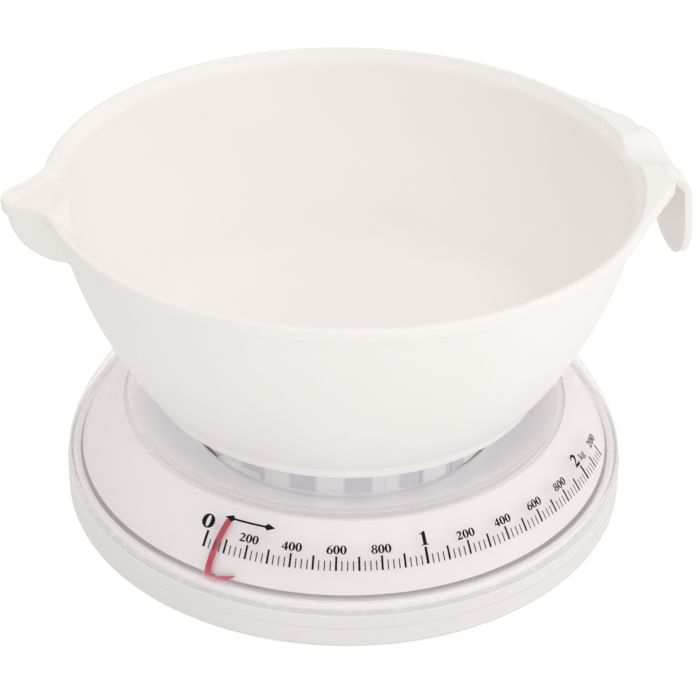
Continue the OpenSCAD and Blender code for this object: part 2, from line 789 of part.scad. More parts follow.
// a pair of side plates joined by a web, with a close bore at the chassis and an open one at the carrier
module guide_link(z) {
    translate([link_base_x, 0, z])
        rotate([0, -link_tilt, 0])
            difference() {
                union() {
                    for (y = link_y)
                        translate([0, y, 0])
                            rotate([-90, 0, 0])
                                linear_extrude(link_plate)
                                    hull() {
                                        circle(r = link_eye, $fn = 48);
                                        translate([link_length, 0])
                                            circle(r = link_eye, $fn = 48);
                                    }
                    translate([7, link_y[0] + 0.4, -0.8])
                        cube([link_length - 15, link_y[1] - link_y[0] + 0.8, 1.6]);
                }
                translate([0, link_y[0] - 1, 0])
                    rotate([-90, 0, 0])
                        cylinder(r = link_pin_radius + pin_fit, h = 30, $fn = 48);
                translate([link_length, link_y[0] - 1, 0])
                    rotate([-90, 0, 0])
                        cylinder(r = link_pin_radius + free_play + 0.1, h = 30, $fn = 48);
            }
}

module upper_link() {
    color([0.76, 0.76, 0.78])
        guide_link(upper_link_z);
}

module lower_link() {
    color([0.76, 0.76, 0.78])
        guide_link(lower_link_z);
}

// ---------------------------------------------------------------- crank, rack and pinion

crank_post_left = crank_low_x - 4.4;
crank_post_right = crank_high_x + 3.4;
crank_post = 1.8;
crank_span = crank_post_right + crank_post - crank_post_left;
crank_post_width = 8;
crank_hub = 3.2;

module crank_bracket() {
    color([0.68, 0.69, 0.71])
        difference() {
            union() {
                for (x = [crank_post_left, crank_post_right])
                    translate([x, crank_pivot_y - crank_post_width / 2, plate_top])
                        cube([crank_post, crank_post_width, crank_pivot_z + crank_hub + 0.2 - plate_top]);
                for (x = [crank_post_left - bracket_tab, crank_post_right])
                    translate([x, crank_pivot_y - crank_post_width / 2, plate_top])
                        cube([bracket_tab + crank_post, crank_post_width, tab_thickness]);
            }
            translate([crank_post_left - cut, crank_pivot_y, crank_pivot_z])
                rotate([0, 90, 0])
                    cylinder(r = crank_pin_radius, h = crank_span + 2 * cut, $fn = 48);
            for (p = crank_rivets)
                translate([p[0], p[1], 0])
                    cylinder(r = rivet_shaft, h = plate_top + tab_thickness + cut, $fn = 24);
        }
}

module crank_pin() {
    color([0.8, 0.8, 0.8])
        translate([crank_post_left - 0.6, crank_pivot_y, crank_pivot_z])
            rotate([0, 90, 0])
                cylinder(r = crank_pin_radius, h = crank_span + 1.2, $fn = 48);
}

// one arm of the crank, along local +Y, ending in a fork for a pin of radius r
module crank_fork(len, r) {
    difference() {
        hull() {
            cylinder(r = crank_hub + 0.2, h = crank_plate, $fn = 48);
            translate([-r - 1.9, len + 1.4, 0])
                cube([2 * r + 3.8, 0.8, crank_plate]);
        }
        translate([-r - 0.3, len - 2, -cut])
            cube([2 * r + 0.6, 8, crank_plate + 2 * cut]);
    }
}

module bell_crank() {
    color([0.78, 0.78, 0.8])
        translate([crank_low_x, crank_pivot_y, crank_pivot_z])
            rotate([-crank_swing / 2, 0, 0])
                difference() {
                    union() {
                        // flat arms stood up across the pivot: one to the column, one down to the rack
                        rotate([180, 0, 0])
                            rotate([90, 0, 90])
                                rotate([0, 0, -90])
                                    crank_fork(crank_arm, drive_pin_radius);
                        rotate([-90, 0, 0])
                            rotate([90, 0, 90])
                                rotate([0, 0, -90])
                                    crank_fork(rack_arm, rack_pin_radius);
                        translate([-2.1, 0, 0])
                            rotate([0, 90, 0])
                                cylinder(r = crank_hub, h = 6.2, $fn = 48);
                    }
                    translate([-4, 0, 0])
                        rotate([0, 90, 0])
                            cylinder(r = crank_pin_radius + pin_fit, h = 12, $fn = 48);
                }
}

module rack() {
    color([0.83, 0.72, 0.4])
        difference() {
            union() {
                translate([0, 0, rack_low])
                    linear_extrude(rack_high - rack_low)
                        polygon(concat([[rack_back, -rack_tail], [rack_front, -rack_tail]],
                            [for (i = [-rack_teeth_low:rack_teeth_high - 1],
                                c = [[0, -0.5], [1, -0.5], [1, 0.5], [0, 0.5]])
                                let (w = c[0] == 0 ? tooth_root : tooth_tip)
                                [c[0] == 0 ? rack_front : pinion_pitch_radius - tooth_add,
                                    (i + 0.5) * tooth_pitch + c[1] * w]],
                            [[rack_front, rack_pin_y - rack_head], [rack_back, rack_pin_y - rack_head]]));
                translate([crank_high_x + free_play, rack_pin_y - rack_tab_lap, rack_low - 1])
                    cube([rack_tab, rack_tab_lap + rack_tab_end, rack_high - rack_low + 2.2]);
            }
            translate([crank_low_x - cut, rack_pin_y, rack_mid])
                rotate([0, 90, 0])
                    cylinder(r = rack_pin_radius, h = crank_plate + rack_tab + free_play + 2 * cut, $fn = 32);
        }
}

module rack_pin() {
    color([0.8, 0.8, 0.8])
        translate([crank_low_x - free_play, rack_pin_y, rack_mid])
            rotate([0, 90, 0])
                cylinder(r = rack_pin_radius, h = crank_plate + rack_tab + 2 * free_play, $fn = 32);
}

// a bridge that the back of the rack runs through, and a wall that keeps the rack in mesh
guide_y = 9.6;
guide_length = 5.6;
guide_wall = 1.8;

module rack_guide() {
    x0 = rack_front - 1.8;
    x1 = rack_back + 0.2;
    color([0.92, 0.92, 0.9])
        difference() {
            union() {
                translate([x0, guide_y, plate_top])
                    cube([x1 + guide_wall - x0, guide_length, rack_high + 1.4 - plate_top]);
                translate([x1, -7, plate_top])
                    cube([guide_wall, guide_y + guide_length + 7, rack_high - plate_top]);
                translate([x0 - bracket_tab, guide_y, plate_top])
                    cube([bracket_tab + 0.1, guide_length, tab_thickness]);
            }
            translate([rack_front - 0.2, guide_y - 1, rack_low - 0.2])
                cube([x1 - rack_front + 0.2, guide_length + 2, rack_high - rack_low + 0.4]);
            for (p = guide_rivets)
                translate([p[0], p[1], 0])
                    cylinder(r = rivet_shaft, h = plate_top + tab_thickness + cut, $fn = 24);
        }
}

bracket_rivets = [[link_base_x, column_y0 - 3], [link_base_x, column_y1 + 3]];
crank_rivets = [[crank_post_left - 3, crank_pivot_y], [crank_post_right + crank_post + 3, crank_pivot_y]];
guide_rivets = [[rack_front - 4.8, guide_y + guide_length / 2]];
rivet_spots = concat(bracket_rivets, crank_rivets, guide_rivets);

module rivets() {
    color([0.8, 0.8, 0.8])
        for (p = rivet_spots)
            translate([p[0], p[1], 0]) {
                translate([0, 0, floor_top + 0.1])
                    cylinder(r = rivet_shaft, h = plate_top + tab_thickness - floor_top, $fn = 24);
                translate([0, 0, plate_top + tab_thickness])
                    cylinder(r1 = rivet_shaft + 0.9, r2 = rivet_shaft + 0.2, h = 0.8, $fn = 32);
            }
}

module bearing_bridge() {
    color([0.7, 0.71, 0.73])
        difference() {
            union() {
                translate([bridge_post_x[0] - 3, -bridge_width / 2, bridge_height])
                    cube([bridge_post_x[1] - bridge_post_x[0] + 6, bridge_width, bridge_plate]);
                for (x = bridge_post_x)
                    translate([x, 0, plate_top])
                        cylinder(r = 2 * bridge_screw_shaft, h = bridge_height - plate_top, $fn = 48);
            }
            translate([0, 0, bridge_height - 2])
                cylinder(r = bush_radius, h = 6, $fn = 48);
            for (x = bridge_post_x)
                translate([x, 0, bridge_height - bridge_screw_length + bridge_plate - 0.2])
                    cylinder(r = bridge_screw_shaft, h = bridge_screw_length + cut, $fn = 32);
        }
}

module bridge_screws() {
    color([0.75, 0.75, 0.76])
        for (x = bridge_post_x)
            translate([x, 0, bridge_height + bridge_plate])
                difference() {
                    union() {
                        translate([0, 0, -bridge_screw_length])
                            cylinder(r = bridge_screw_shaft, h = bridge_screw_length, $fn = 32);
                        cylinder(r = bridge_screw_shaft + 1, h = 1.2, $fn = 48);
                    }
                    translate([-3, -screw_slot / 2, 0.6])
                        cube([6, screw_slot, 1]);
                }
}

module bearing_bush(z, h) {
    translate([0, 0, z])
        difference() {
            union() {
                cylinder(r = bush_radius, h = h, $fn = 48);
                translate([0, 0, h - 0.6])
                    cylinder(r = bush_flange, h = 0.6, $fn = 48);
            }
            translate([0, 0, -cut])
                cylinder(r = spindle_radius + pin_fit, h = h + 2 * cut, $fn = 48);
        }
}

module lower_bearing() {
    color([0.83, 0.72, 0.4])
        bearing_bush(floor_top, plate_thickness + 0.6);
}

module upper_bearing() {
    color([0.83, 0.72, 0.4])
        bearing_bush(bridge_height, bridge_plate + 0.6);
}

module spindle() {
    color([0.8, 0.8, 0.8])
        translate([0, 0, floor_top + 0.2])
            cylinder(r = spindle_radius, h = spindle_top - floor_top, $fn = 48);
}

module pinion() {
    r = pinion_pitch_radius;
    color([0.83, 0.72, 0.4])
        difference() {
            translate([0, 0, 6.4])
                linear_extrude(4)
                    polygon([for (i = [0:pinion_teeth - 1], c = [[0, -0.5], [1, -0.5], [1, 0.5], [0, 0.5]])
                        let (w = (c[0] == 0 ? tooth_root : tooth_tip) * c[1] * 180 / PI / r,
                            q = c[0] == 0 ? r - tooth_ded : r + tooth_add, a = i * 360 / pinion_teeth + w)
                        [q * cos(a), q * sin(a)]]);
            translate([0, 0, 5])
                cylinder(r = spindle_radius, h = 8, $fn = 48);
        }
}

// ---------------------------------------------------------------- pointer

hook_r = dome_centre_r + sqrt(pow(pointer_arc_radius, 2) - pow(arm_bottom + hook_radius - dome_centre_z, 2));

module pointer() {
    color([0.82, 0.12, 0.16])
        rotate([0, 0, pointer_angle])
            difference() {
                union() {
                    translate([0, 0, arm_bottom - 1.2])
                        cylinder(r = 5, h = pointer_thickness + 2.4, $fn = 48);
                    // arm under the dial body
                    translate([0, 0, arm_bottom])
                        linear_extrude(pointer_thickness)
                            polygon([[0, -3.5], [hook_r - 20, -pointer_width / 2 - 0.4],
                                [hook_r - hook_radius, -pointer_width / 2],
                                [hook_r - hook_radius, pointer_width / 2],
                                [hook_r - 20, pointer_width / 2 + 0.4], [0, 3.5]]);
                    // riser: round the dial body's lower edge, then leaning over its face
                    intersection() {
                        rotate([0, 0, -riser_spread])
                            rotate_extrude(angle = 2 * riser_spread, $fn = 160)
                                riser_section();
                        linear_extrude(60)
                            riser_plan();
                    }
                    // foot: runs round beside the dial body's lower edge
                    rotate_extrude(angle = pointer_foot_span, $fn = 160)
                        foot_section();
                }
                cylinder(r = spindle_radius, h = 40, $fn = 48);
            }
}

// the foot follows the same arc as the riser, a little thinner, clear of the dial body and of the cover
module foot_section() {
    low = dial_edge_height + 0.1 - dome_centre_z;
    half = pointer_thickness / 2 - 0.15;
    translate([dome_centre_r, dome_centre_z])
        intersection() {
            difference() {
                circle(r = pointer_arc_radius + half, $fn = 160);
                circle(r = pointer_arc_radius - half, $fn = 160);
            }
            translate([10, low])
                square([50, pointer_width * 0.8]);
        }
}

// the riser's width and lean, seen from above
module riser_plan() {
    tip = hook_r - 18;
    polygon([[hook_r + 2, -pointer_width / 2], [hook_r + 2, pointer_width / 2],
        [hook_r - hook_radius, pointer_width / 2], [tip, pointer_lean + pointer_width / 2],
        [tip, pointer_lean - pointer_width / 2], [hook_r - hook_radius, -pointer_width / 2]]);
}

module riser_section() {
    translate([hook_r - hook_radius, arm_bottom + hook_radius])
        intersection() {
            difference() {
                circle(r = hook_radius, $fn = 64);
                circle(r = hook_radius - pointer_thickness, $fn = 64);
            }
            translate([-0.01, -hook_radius - 1])
                square([hook_radius + 2, hook_radius + 1.6]);
        }
    translate([dome_centre_r, dome_centre_z])
        intersection() {
            difference() {
                circle(r = pointer_arc_radius + pointer_thickness / 2, $fn = 160);
                circle(r = pointer_arc_radius - pointer_thickness / 2, $fn = 160);
            }
            polygon([[0, 0], [60 * cos(51), 60 * sin(51)], [60, 60],
                [60, arm_bottom + hook_radius - dome_centre_z], [0, arm_bottom + hook_radius - dome_centre_z]]);
        }
}

module pointer_clip() {
    color([0.3, 0.3, 0.32])
        difference() {
            translate([0, 0, arm_bottom - 1.2 + pointer_thickness + 2.4])
                cylinder(r = 2.8, h = 0.8, $fn = 48);
            cylinder(r = spindle_radius, h = 40, $fn = 48);
            translate([0, -0.5, 10])
                cube([5, 1, 20]);
        }
}

// ---------------------------------------------------------------- main spring

coil_pitch = (spring_top - spring_bottom - spring_wire) / spring_turns;
coil_lean = 9;
coil_gap = 30;

// where the open coil i starts (side = 1) or ends (side = -1)
function coil_end(i, side) =
    let (lean = i == 0 || i == spring_turns ? 0 : coil_lean, y = spring_radius * sin(coil_gap))
    [spring_radius * cos(coil_gap), side * y * cos(lean), i * coil_pitch - side * y * sin(lean)];

// open coils that lean a little, each joined to the next by a steeper stretch of wire
module main_spring() {
    color([0.6, 0.62, 0.65])
        translate([spring_x, spring_y, spring_bottom + spring_wire / 2]) {
            for (i = [0:spring_turns])
                translate([0, 0, i * coil_pitch])
                    rotate([i == 0 || i == spring_turns ? 0 : -coil_lean, 0, 0])
                        rotate_extrude(angle = 360 - 2 * coil_gap, start = coil_gap, $fn = 48)
                            translate([spring_radius, 0])
                                circle(r = spring_wire / 2, $fn = 24);
            for (i = [0:spring_turns - 1]) {
                from = coil_end(i, -1);
                to = coil_end(i + 1, 1);
                run = to - from;
                translate(from)
                    rotate([0, acos(run[2] / norm(run)), 90])
                        cylinder(r = spring_wire / 2 - 0.02, h = norm(run), $fn = 24);
                for (p = [from, to])
                    translate(p)
                        sphere(r = spring_wire / 2 + 0.05, $fn = 24);
            }
        }
}

module spring_adjuster() {
    color([0.75, 0.75, 0.76])
        translate([spring_x, spring_y, 0])
            difference() {
                union() {
                    translate([0, 0, plate_top])
                        cylinder(r = spring_radius + spring_wire / 2 + 0.8, h = spring_bottom - plate_top);
                    translate([0, 0, spring_bottom - 0.1])
                        cylinder(r = spring_radius - spring_wire / 2 - 1, h = 2.4, $fn = 48);
                    translate([0, 0, floor_bottom + 0.2])
                        cylinder(r = adjuster_shaft, h = plate_top - floor_bottom, $fn = 48);
                }
                translate([-adjuster_shaft - 0.5, -0.5, 0])
                    cube([2 * adjuster_shaft + 1, 1, floor_bottom + 1.2]);
            }
}

bowl();
platform();
platform_screws();
carrier();
carrier_pins();
dial_cover();
dial_body();
dial_screws();
base_pan();
rubber_feet();
chassis();
chassis_screws();
link_bracket();
link_pivot_pins();
upper_link();
lower_link();
crank_bracket();
crank_pin();
bell_crank();
rack();
rack_pin();
rack_guide();
rivets();
bearing_bridge();
bridge_screws();
lower_bearing();
upper_bearing();
spindle();
pinion();
pointer();
pointer_clip();
main_spring();
spring_adjuster();
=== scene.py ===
"""Looks of a kitchen scale: a pouring bowl on a clear domed cover over a printed dial."""

import logging
import math
from collections.abc import Iterable, Sequence
from dataclasses import dataclass, field
from enum import Enum

import bmesh
import bpy
from mathutils import Matrix, Vector


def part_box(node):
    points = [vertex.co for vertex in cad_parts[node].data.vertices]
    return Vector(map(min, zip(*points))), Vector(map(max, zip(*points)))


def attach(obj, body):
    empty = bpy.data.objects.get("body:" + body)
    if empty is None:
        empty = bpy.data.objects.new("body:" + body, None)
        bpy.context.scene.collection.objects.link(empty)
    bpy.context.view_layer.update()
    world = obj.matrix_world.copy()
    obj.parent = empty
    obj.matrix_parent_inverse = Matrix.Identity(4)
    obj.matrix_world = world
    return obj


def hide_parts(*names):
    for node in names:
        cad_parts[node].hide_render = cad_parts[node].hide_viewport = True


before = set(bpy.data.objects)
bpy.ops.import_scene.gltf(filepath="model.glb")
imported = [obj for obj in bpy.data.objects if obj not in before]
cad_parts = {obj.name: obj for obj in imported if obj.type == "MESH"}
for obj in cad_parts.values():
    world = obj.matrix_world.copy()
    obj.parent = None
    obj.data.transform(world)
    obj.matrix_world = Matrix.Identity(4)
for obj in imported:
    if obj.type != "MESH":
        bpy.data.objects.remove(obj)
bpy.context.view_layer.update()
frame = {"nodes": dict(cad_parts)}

log = logging.getLogger("kitchen_scale")
Point = tuple[float, float]
Triple = tuple[float, float, float]
Colour = Triple
WHITE: Colour = (1.0, 1.0, 1.0)
# One millimetre in metres: shapes are made in mm, and a finished piece is scaled by this.
MM = 0.001
# Points of a spun shape that lie closer than this many mm become one.
MERGE = 0.001


# ------------------------------------------------------------------ shader maths


class Graph:
    """The node tree of a material or of the world, built from Python expressions."""

    def __init__(self, owner: bpy.types.Material | bpy.types.World) -> None:
        """Empty the owner's node tree.

        Args:
            owner: The material or the world.
        """
        self.owner = owner
        owner.use_nodes = True
        self.tree = owner.node_tree
        self.tree.nodes.clear()

    @classmethod
    def material(cls, name: str) -> "Graph":
        """The graph of a new material."""
        return cls(bpy.data.materials.new(name))

    def node(self, kind: str, settings: dict | None = None, inputs: dict | None = None,
             output: int | str = 0) -> "Wire":
        """Add one node.

        Args:
            kind: The node's type.
            settings: Its settings, set before its sockets.
            inputs: Values or wires by socket name or number.
            output: The output that the returned wire stands for.

        Returns:
            The wire of that output.
        """
        made = self.tree.nodes.new(kind)
        for key, value in (settings or {}).items():
            setattr(made, key, value)
        for key, value in (inputs or {}).items():
            socket = made.inputs[key]
            if isinstance(value, Wire):
                self.tree.links.new(value.socket, socket)
            elif isinstance(value, tuple) and len(value) == 3 and socket.type == "RGBA":
                socket.default_value = (*value, 1.0)
            else:
                socket.default_value = value
        return Wire(self, made.outputs[output])

    def blend(self, factor: "Wire", first: Colour, second: Colour) -> "Wire":
        """Mix two colours by a mask.

        Args:
            factor: The mask, 0 for the first colour.
            first: The colour at 0.
            second: The colour at 1.

        Returns:
            The mixed colour.
        """
        colours = {0: factor, 6: first, 7: second}
        return self.node("ShaderNodeMix", {"data_type": "RGBA"}, colours, 2)

    def mixed(self, factor: "Wire", first: "Wire", second: "Wire") -> "Wire":
        """Mix two shaders by a mask, 0 for the first."""
        return self.node("ShaderNodeMixShader", None, {0: factor, 1: first, 2: second})

    def clear(self, tint: Colour) -> "Wire":
        """A see-through shader of one tint."""
        return self.node("ShaderNodeBsdfTransparent", None, {"Color": tint})

    def ray(self, kind: str) -> "Wire":
        """1 for one kind of light ray and 0 for the others."""
        return self.node("ShaderNodeLightPath", output=f"Is {kind} Ray")

    def facing(self, blend: float) -> "Wire":
        """0 where the surface is seen face on, up to 1 where it is seen edge on."""
        return self.node("ShaderNodeLayerWeight", None, {"Blend": blend}, "Facing")

    def place(self, scale: Triple = (1.0, 1.0, 1.0)) -> "Wire":
        """The point on the piece, stretched by scale, in metres."""
        spot = self.node("ShaderNodeTexCoord", output="Object")
        return self.node("ShaderNodeMapping", inputs={"Vector": spot, "Scale": scale})

    def noise(self, size: float, detail: float = 2.0, stretch: Triple = (1.0, 1.0, 1.0)) -> "Wire":
        """Cloudy noise.

        Args:
            size: The size of its clouds in mm.
            detail: How many finer layers it has.
            stretch: How much finer it is along each axis.

        Returns:
            A value that stays near one half.
        """
        inputs = {"Vector": self.place(stretch), "Scale": 1.0 / MM / size, "Detail": detail}
        return self.node("ShaderNodeTexNoise", None, inputs)

    def round_the_axis(self, waves: int) -> "Wire":
        """A wave from -1 to 1 that runs round the vertical axis."""
        parts = self.node("ShaderNodeSeparateXYZ", None, {0: self.place()})
        across = Wire(self, parts.socket.node.outputs[1])
        turn = self.node("ShaderNodeMath", {"operation": "ARCTAN2"}, {0: across, 1: parts})
        return self.node("ShaderNodeMath", {"operation": "SINE"}, {0: turn * float(waves)})

    def distance(self, axes: Triple) -> "Wire":
        """How far a point is from the origin in mm, along the axes given as 1."""
        place = {0: self.place(axes)}
        length = self.node("ShaderNodeVectorMath", {"operation": "LENGTH"}, place, "Value")
        return length * (1.0 / MM)

    def height(self) -> "Wire":
        """How high a point is in mm."""
        return self.distance((0.0, 0.0, 1.0))

    def bump(self, height: "Wire", distance: float, strength: float = 1.0) -> "Wire":
        """Turn a height into a surface direction.

        Args:
            height: The height, about 0 to 1.
            distance: The real depth of the relief in mm.
            strength: The share of the relief that shows.

        Returns:
            The bent normal.
        """
        relief = {"Height": height, "Distance": distance * MM, "Strength": strength}
        return self.node("ShaderNodeBump", None, relief)

    def finish(self, shader: "Wire") -> bpy.types.Material | bpy.types.World:
        """Join the shader to the tree's output and give the tree's owner back."""
        world = isinstance(self.owner, bpy.types.World)
        end = self.tree.nodes.new("ShaderNodeOutputWorld" if world else "ShaderNodeOutputMaterial")
        self.tree.links.new(shader.socket, end.inputs["Surface"])
        return self.owner


@dataclass(frozen=True)
class Wire:
    """One output in a node tree, which can be used in a Python expression.

    Args:
        graph: The tree that it belongs to.
        socket: The output.
    """

    graph: Graph
    socket: bpy.types.NodeSocket

    def _maths(self, operation: str, first: "Wire | float", second: "Wire | float") -> "Wire":
        """Add one Math node."""
        return self.graph.node("ShaderNodeMath", {"operation": operation}, {0: first, 1: second})

    def __add__(self, other: "Wire | float") -> "Wire":
        """Sum."""
        return self._maths("ADD", self, other)

    def __radd__(self, other: float) -> "Wire":
        """Sum with a number on the left."""
        return self._maths("ADD", other, self)

    def __sub__(self, other: "Wire | float") -> "Wire":
        """Difference."""
        return self._maths("SUBTRACT", self, other)

    def __rsub__(self, other: float) -> "Wire":
        """Difference with a number on the left."""
        return self._maths("SUBTRACT", other, self)

    def __mul__(self, other: "Wire | float") -> "Wire":
        """Product."""
        return self._maths("MULTIPLY", self, other)

    def __rmul__(self, other: float) -> "Wire":
        """Product with a number on the left."""
        return self._maths("MULTIPLY", other, self)

    def ramp(self, low: float, high: float) -> "Wire":
        """Stretch the range from low to high over 0 to 1, softly and clipped.

        Args:
            low: The value that becomes 0.
            high: The value that becomes 1.

        Returns:
            The stretched value.
        """
        return self.graph.node("ShaderNodeMapRange", {"interpolation_type": "SMOOTHSTEP"},
                               {"Value": self, "From Min": low, "From Max": high})


def paint(red: int, green: int, blue: int) -> Colour:
    """Turn a colour as seen on a screen, 0 to 255, into the linear values of a shader.

    Args:
        red: Red as seen.
        green: Green as seen.
        blue: Blue as seen.

    Returns:
        The linear colour.
    """
    def linear(value: int) -> float:
        """One channel."""
        share = value / 255.0
        return share / 12.92 if share <= 0.04045 else ((share + 0.055) / 1.055) ** 2.4
    return linear(red), linear(green), linear(blue)


# ------------------------------------------------------------------ finishes


@dataclass(frozen=True)
class MouldedPlastic:
    """Opaque moulded plastic with a faint clouding, a fine grain and a soft orange peel, and panels of
    painted light and shade where asked.

    Args:
        name: The material's name.
        colour: Its colour where it is clean.
        shade: Its colour in the faint clouds, and the painted shade of the darker panels.
        roughness: How dull its gloss is.
        peel: The depth of the orange peel in mm.
        grain: The size of the grain in mm.
        clouding: The size of the faint clouds in mm.
        painted_panels: How many panels of painted light and painted shade run round the axis: lighter
            and darker in turn, standing in for how the light falls round the collar.
        painted_panels_top: The height in mm where those painted panels end.
    """

    name: str
    colour: Colour
    shade: Colour
    roughness: float = 0.25
    peel: float = 0.0012
    grain: float = 1.2
    clouding: float = 60.0
    painted_panels: int = 0
    painted_panels_top: float = 0.0

    def material(self) -> bpy.types.Material:
        """Build the material."""
        graph = Graph.material(self.name)
        clouds = graph.noise(self.clouding)
        speck = graph.noise(self.grain)
        shading = clouds.ramp(0.25, 0.75) * 0.7 + speck * 0.3
        # Painted light and shade: every other panel round the axis is lighter and the rest darker, only
        # below the panels' top, standing in for how the light falls round the collar.
        if self.painted_panels:
            below = graph.height().ramp(self.painted_panels_top - 0.2, self.painted_panels_top - 0.6) * 0.8
            shading = graph.round_the_axis(self.painted_panels).ramp(-0.25, 0.25) * below + shading * 0.2
        shader = graph.node("ShaderNodeBsdfPrincipled", None, {
            "Base Color": graph.blend(shading, self.colour, self.shade),
            "Roughness": self.roughness + clouds * 0.05 + speck * 0.03,
            "IOR": 1.5,
            "Normal": graph.bump(speck, self.peel, 0.5),
        })
        return graph.finish(shader)


@dataclass(frozen=True)
class ClearPlastic:
    """Clear moulded plastic: see-through face on, greyer edge on, with a polished skin and painted light
    along its inner and lower edges.

    Args:
        name: The material's name.
        tint: The colour of what is seen straight through one face.
        edge: The colour of what is seen along a face.
        opening: The radius in mm of its inner edge, where painted light makes it pale.
        hem: The height in mm of its lower edge, where painted light makes it pale.
        roughness: How dull its gloss is.
        mirroring: How much of the light it reflects face on.
        inner_painted_light: Where the painted light along its inner edge starts and is full, in mm out
            from it, and how strong it is: a milky white that lightens the dark gap seen under that edge.
        lower_painted_light: The same for the painted light along its lower edge, in mm up from it, which
            lightens the dark gap at the dial body's lower edge.
        upper_painted_light: The same for the faint band of painted light above that.
    """

    name: str
    tint: Colour
    edge: Colour
    opening: float
    hem: float
    roughness: float = 0.2
    mirroring: float = 0.035
    inner_painted_light: Triple = (1.8, 0.6, 0.40)
    lower_painted_light: Triple = (0.6, -0.8, 0.40)
    upper_painted_light: Triple = (3.6, 1.4, 0.05)

    def gloss(self, graph: Graph) -> Wire:
        """How much its skin reflects: little face on, and most of the light edge on."""
        slant = {0: graph.facing(0.5), 1: 5.0}
        return graph.node("ShaderNodeMath", {"operation": "POWER"}, slant) * 0.9 + self.mirroring

    @staticmethod
    def band(place: Wire, edge: float, painted_light: Triple) -> Wire:
        """One band of painted light.

        Args:
            place: The radius or the height on the piece in mm.
            edge: The edge that the band lies along.
            painted_light: Where the painted light starts and is full, from the edge, and how strong it is.

        Returns:
            How much painted light, as milky white, lies there.
        """
        start, full, painted_whiteness = painted_light
        return place.ramp(edge + start, edge + full) * painted_whiteness

    def pale(self, graph: Graph) -> Wire:
        """How much painted light, as milky white, lies at its inner edge, at its lower edge and just above
        that.
        """
        ring = graph.distance((1.0, 1.0, 0.0))
        height = graph.height()
        return (self.band(ring, self.opening, self.inner_painted_light)
                + self.band(height, self.hem, self.lower_painted_light)
                + self.band(height, self.hem, self.upper_painted_light))

    def material(self) -> bpy.types.Material:
        """Build the material: light for the pieces beneath passes straight through."""
        graph = Graph.material(self.name)
        marks = graph.noise(9.0, 3.0)
        steep = graph.facing(0.2).ramp(0.3, 0.9)
        through = graph.mixed(steep, graph.clear(self.tint), graph.clear(self.edge))
        skin = graph.node("ShaderNodeBsdfPrincipled", None, {
            "Base Color": self.tint,
            "Roughness": self.roughness + marks * 0.04,
            "IOR": 1.47,
            "Normal": graph.bump(marks, 0.002, 0.4),
        })
        # Painted light: at the edges the milky skin is mixed in over what shows through, lightening the
        # dark gaps beneath, on top of the skin's real gloss.
        seen = graph.mixed(self.gloss(graph) + self.pale(graph), through, skin)
        bounce = graph.ray("Shadow") + graph.ray("Diffuse")
        return graph.finish(graph.mixed(bounce, seen, graph.clear(WHITE)))


@dataclass(frozen=True)
class Ink:
    """Printing ink with a slightly uneven cover.

    Args:
        name: The material's name.
        colour: The ink's colour.
        thin: Its colour where it lies thin.
    """

    name: str
    colour: Colour
    thin: Colour

    def material(self) -> bpy.types.Material:
        """Build the material."""
        graph = Graph.material(self.name)
        cover = graph.noise(0.5)
        shader = graph.node("ShaderNodeBsdfPrincipled", None, {
            "Base Color": graph.blend(cover.ramp(0.45, 0.75), self.colour, self.thin),
            "Roughness": 0.42 + cover * 0.1,
            "Specular IOR Level": 0.15,
        })
        return graph.finish(shader)


@dataclass(frozen=True)
class SheetMetal:
    """Rolled or drawn metal with fine lines along one direction.

    Args:
        name: The material's name.
        colour: The metal's colour.
        shade: Its colour where it has dulled.
        roughness: How dull its gloss is.
        lines: How much finer the lines are along each axis.
    """

    name: str
    colour: Colour
    shade: Colour
    roughness: float = 0.32
    lines: Triple = (1.0, 12.0, 1.0)

    def material(self) -> bpy.types.Material:
        """Build the material."""
        graph = Graph.material(self.name)
        drawn = graph.noise(2.4, 3.0, self.lines)
        dull = graph.noise(11.0, 3.0).ramp(0.42, 0.72)
        shader = graph.node("ShaderNodeBsdfPrincipled", None, {
            "Base Color": graph.blend(dull, self.colour, self.shade),
            "Metallic": 1.0,
            "Roughness": self.roughness + drawn * 0.12 + dull * 0.10,
            "Normal": graph.bump(drawn, 0.01, 0.5),
        })
        return graph.finish(shader)


@dataclass(frozen=True)
class FootRubber:
    """Soft rubber with a matt, slightly pitted skin.

    Args:
        name: The material's name.
        colour: Its colour.
        dust: Its colour where dust sits on it.
    """

    name: str
    colour: Colour
    dust: Colour

    def material(self) -> bpy.types.Material:
        """Build the material."""
        graph = Graph.material(self.name)
        pits = graph.noise(0.7, 3.0)
        dust = graph.noise(6.0, 3.0).ramp(0.45, 0.75)
        shader = graph.node("ShaderNodeBsdfPrincipled", None, {
            "Base Color": graph.blend(dust, self.colour, self.dust),
            "Roughness": 0.62 + pits * 0.2,
            "Normal": graph.bump(pits, 0.03, 0.6),
        })
        return graph.finish(shader)


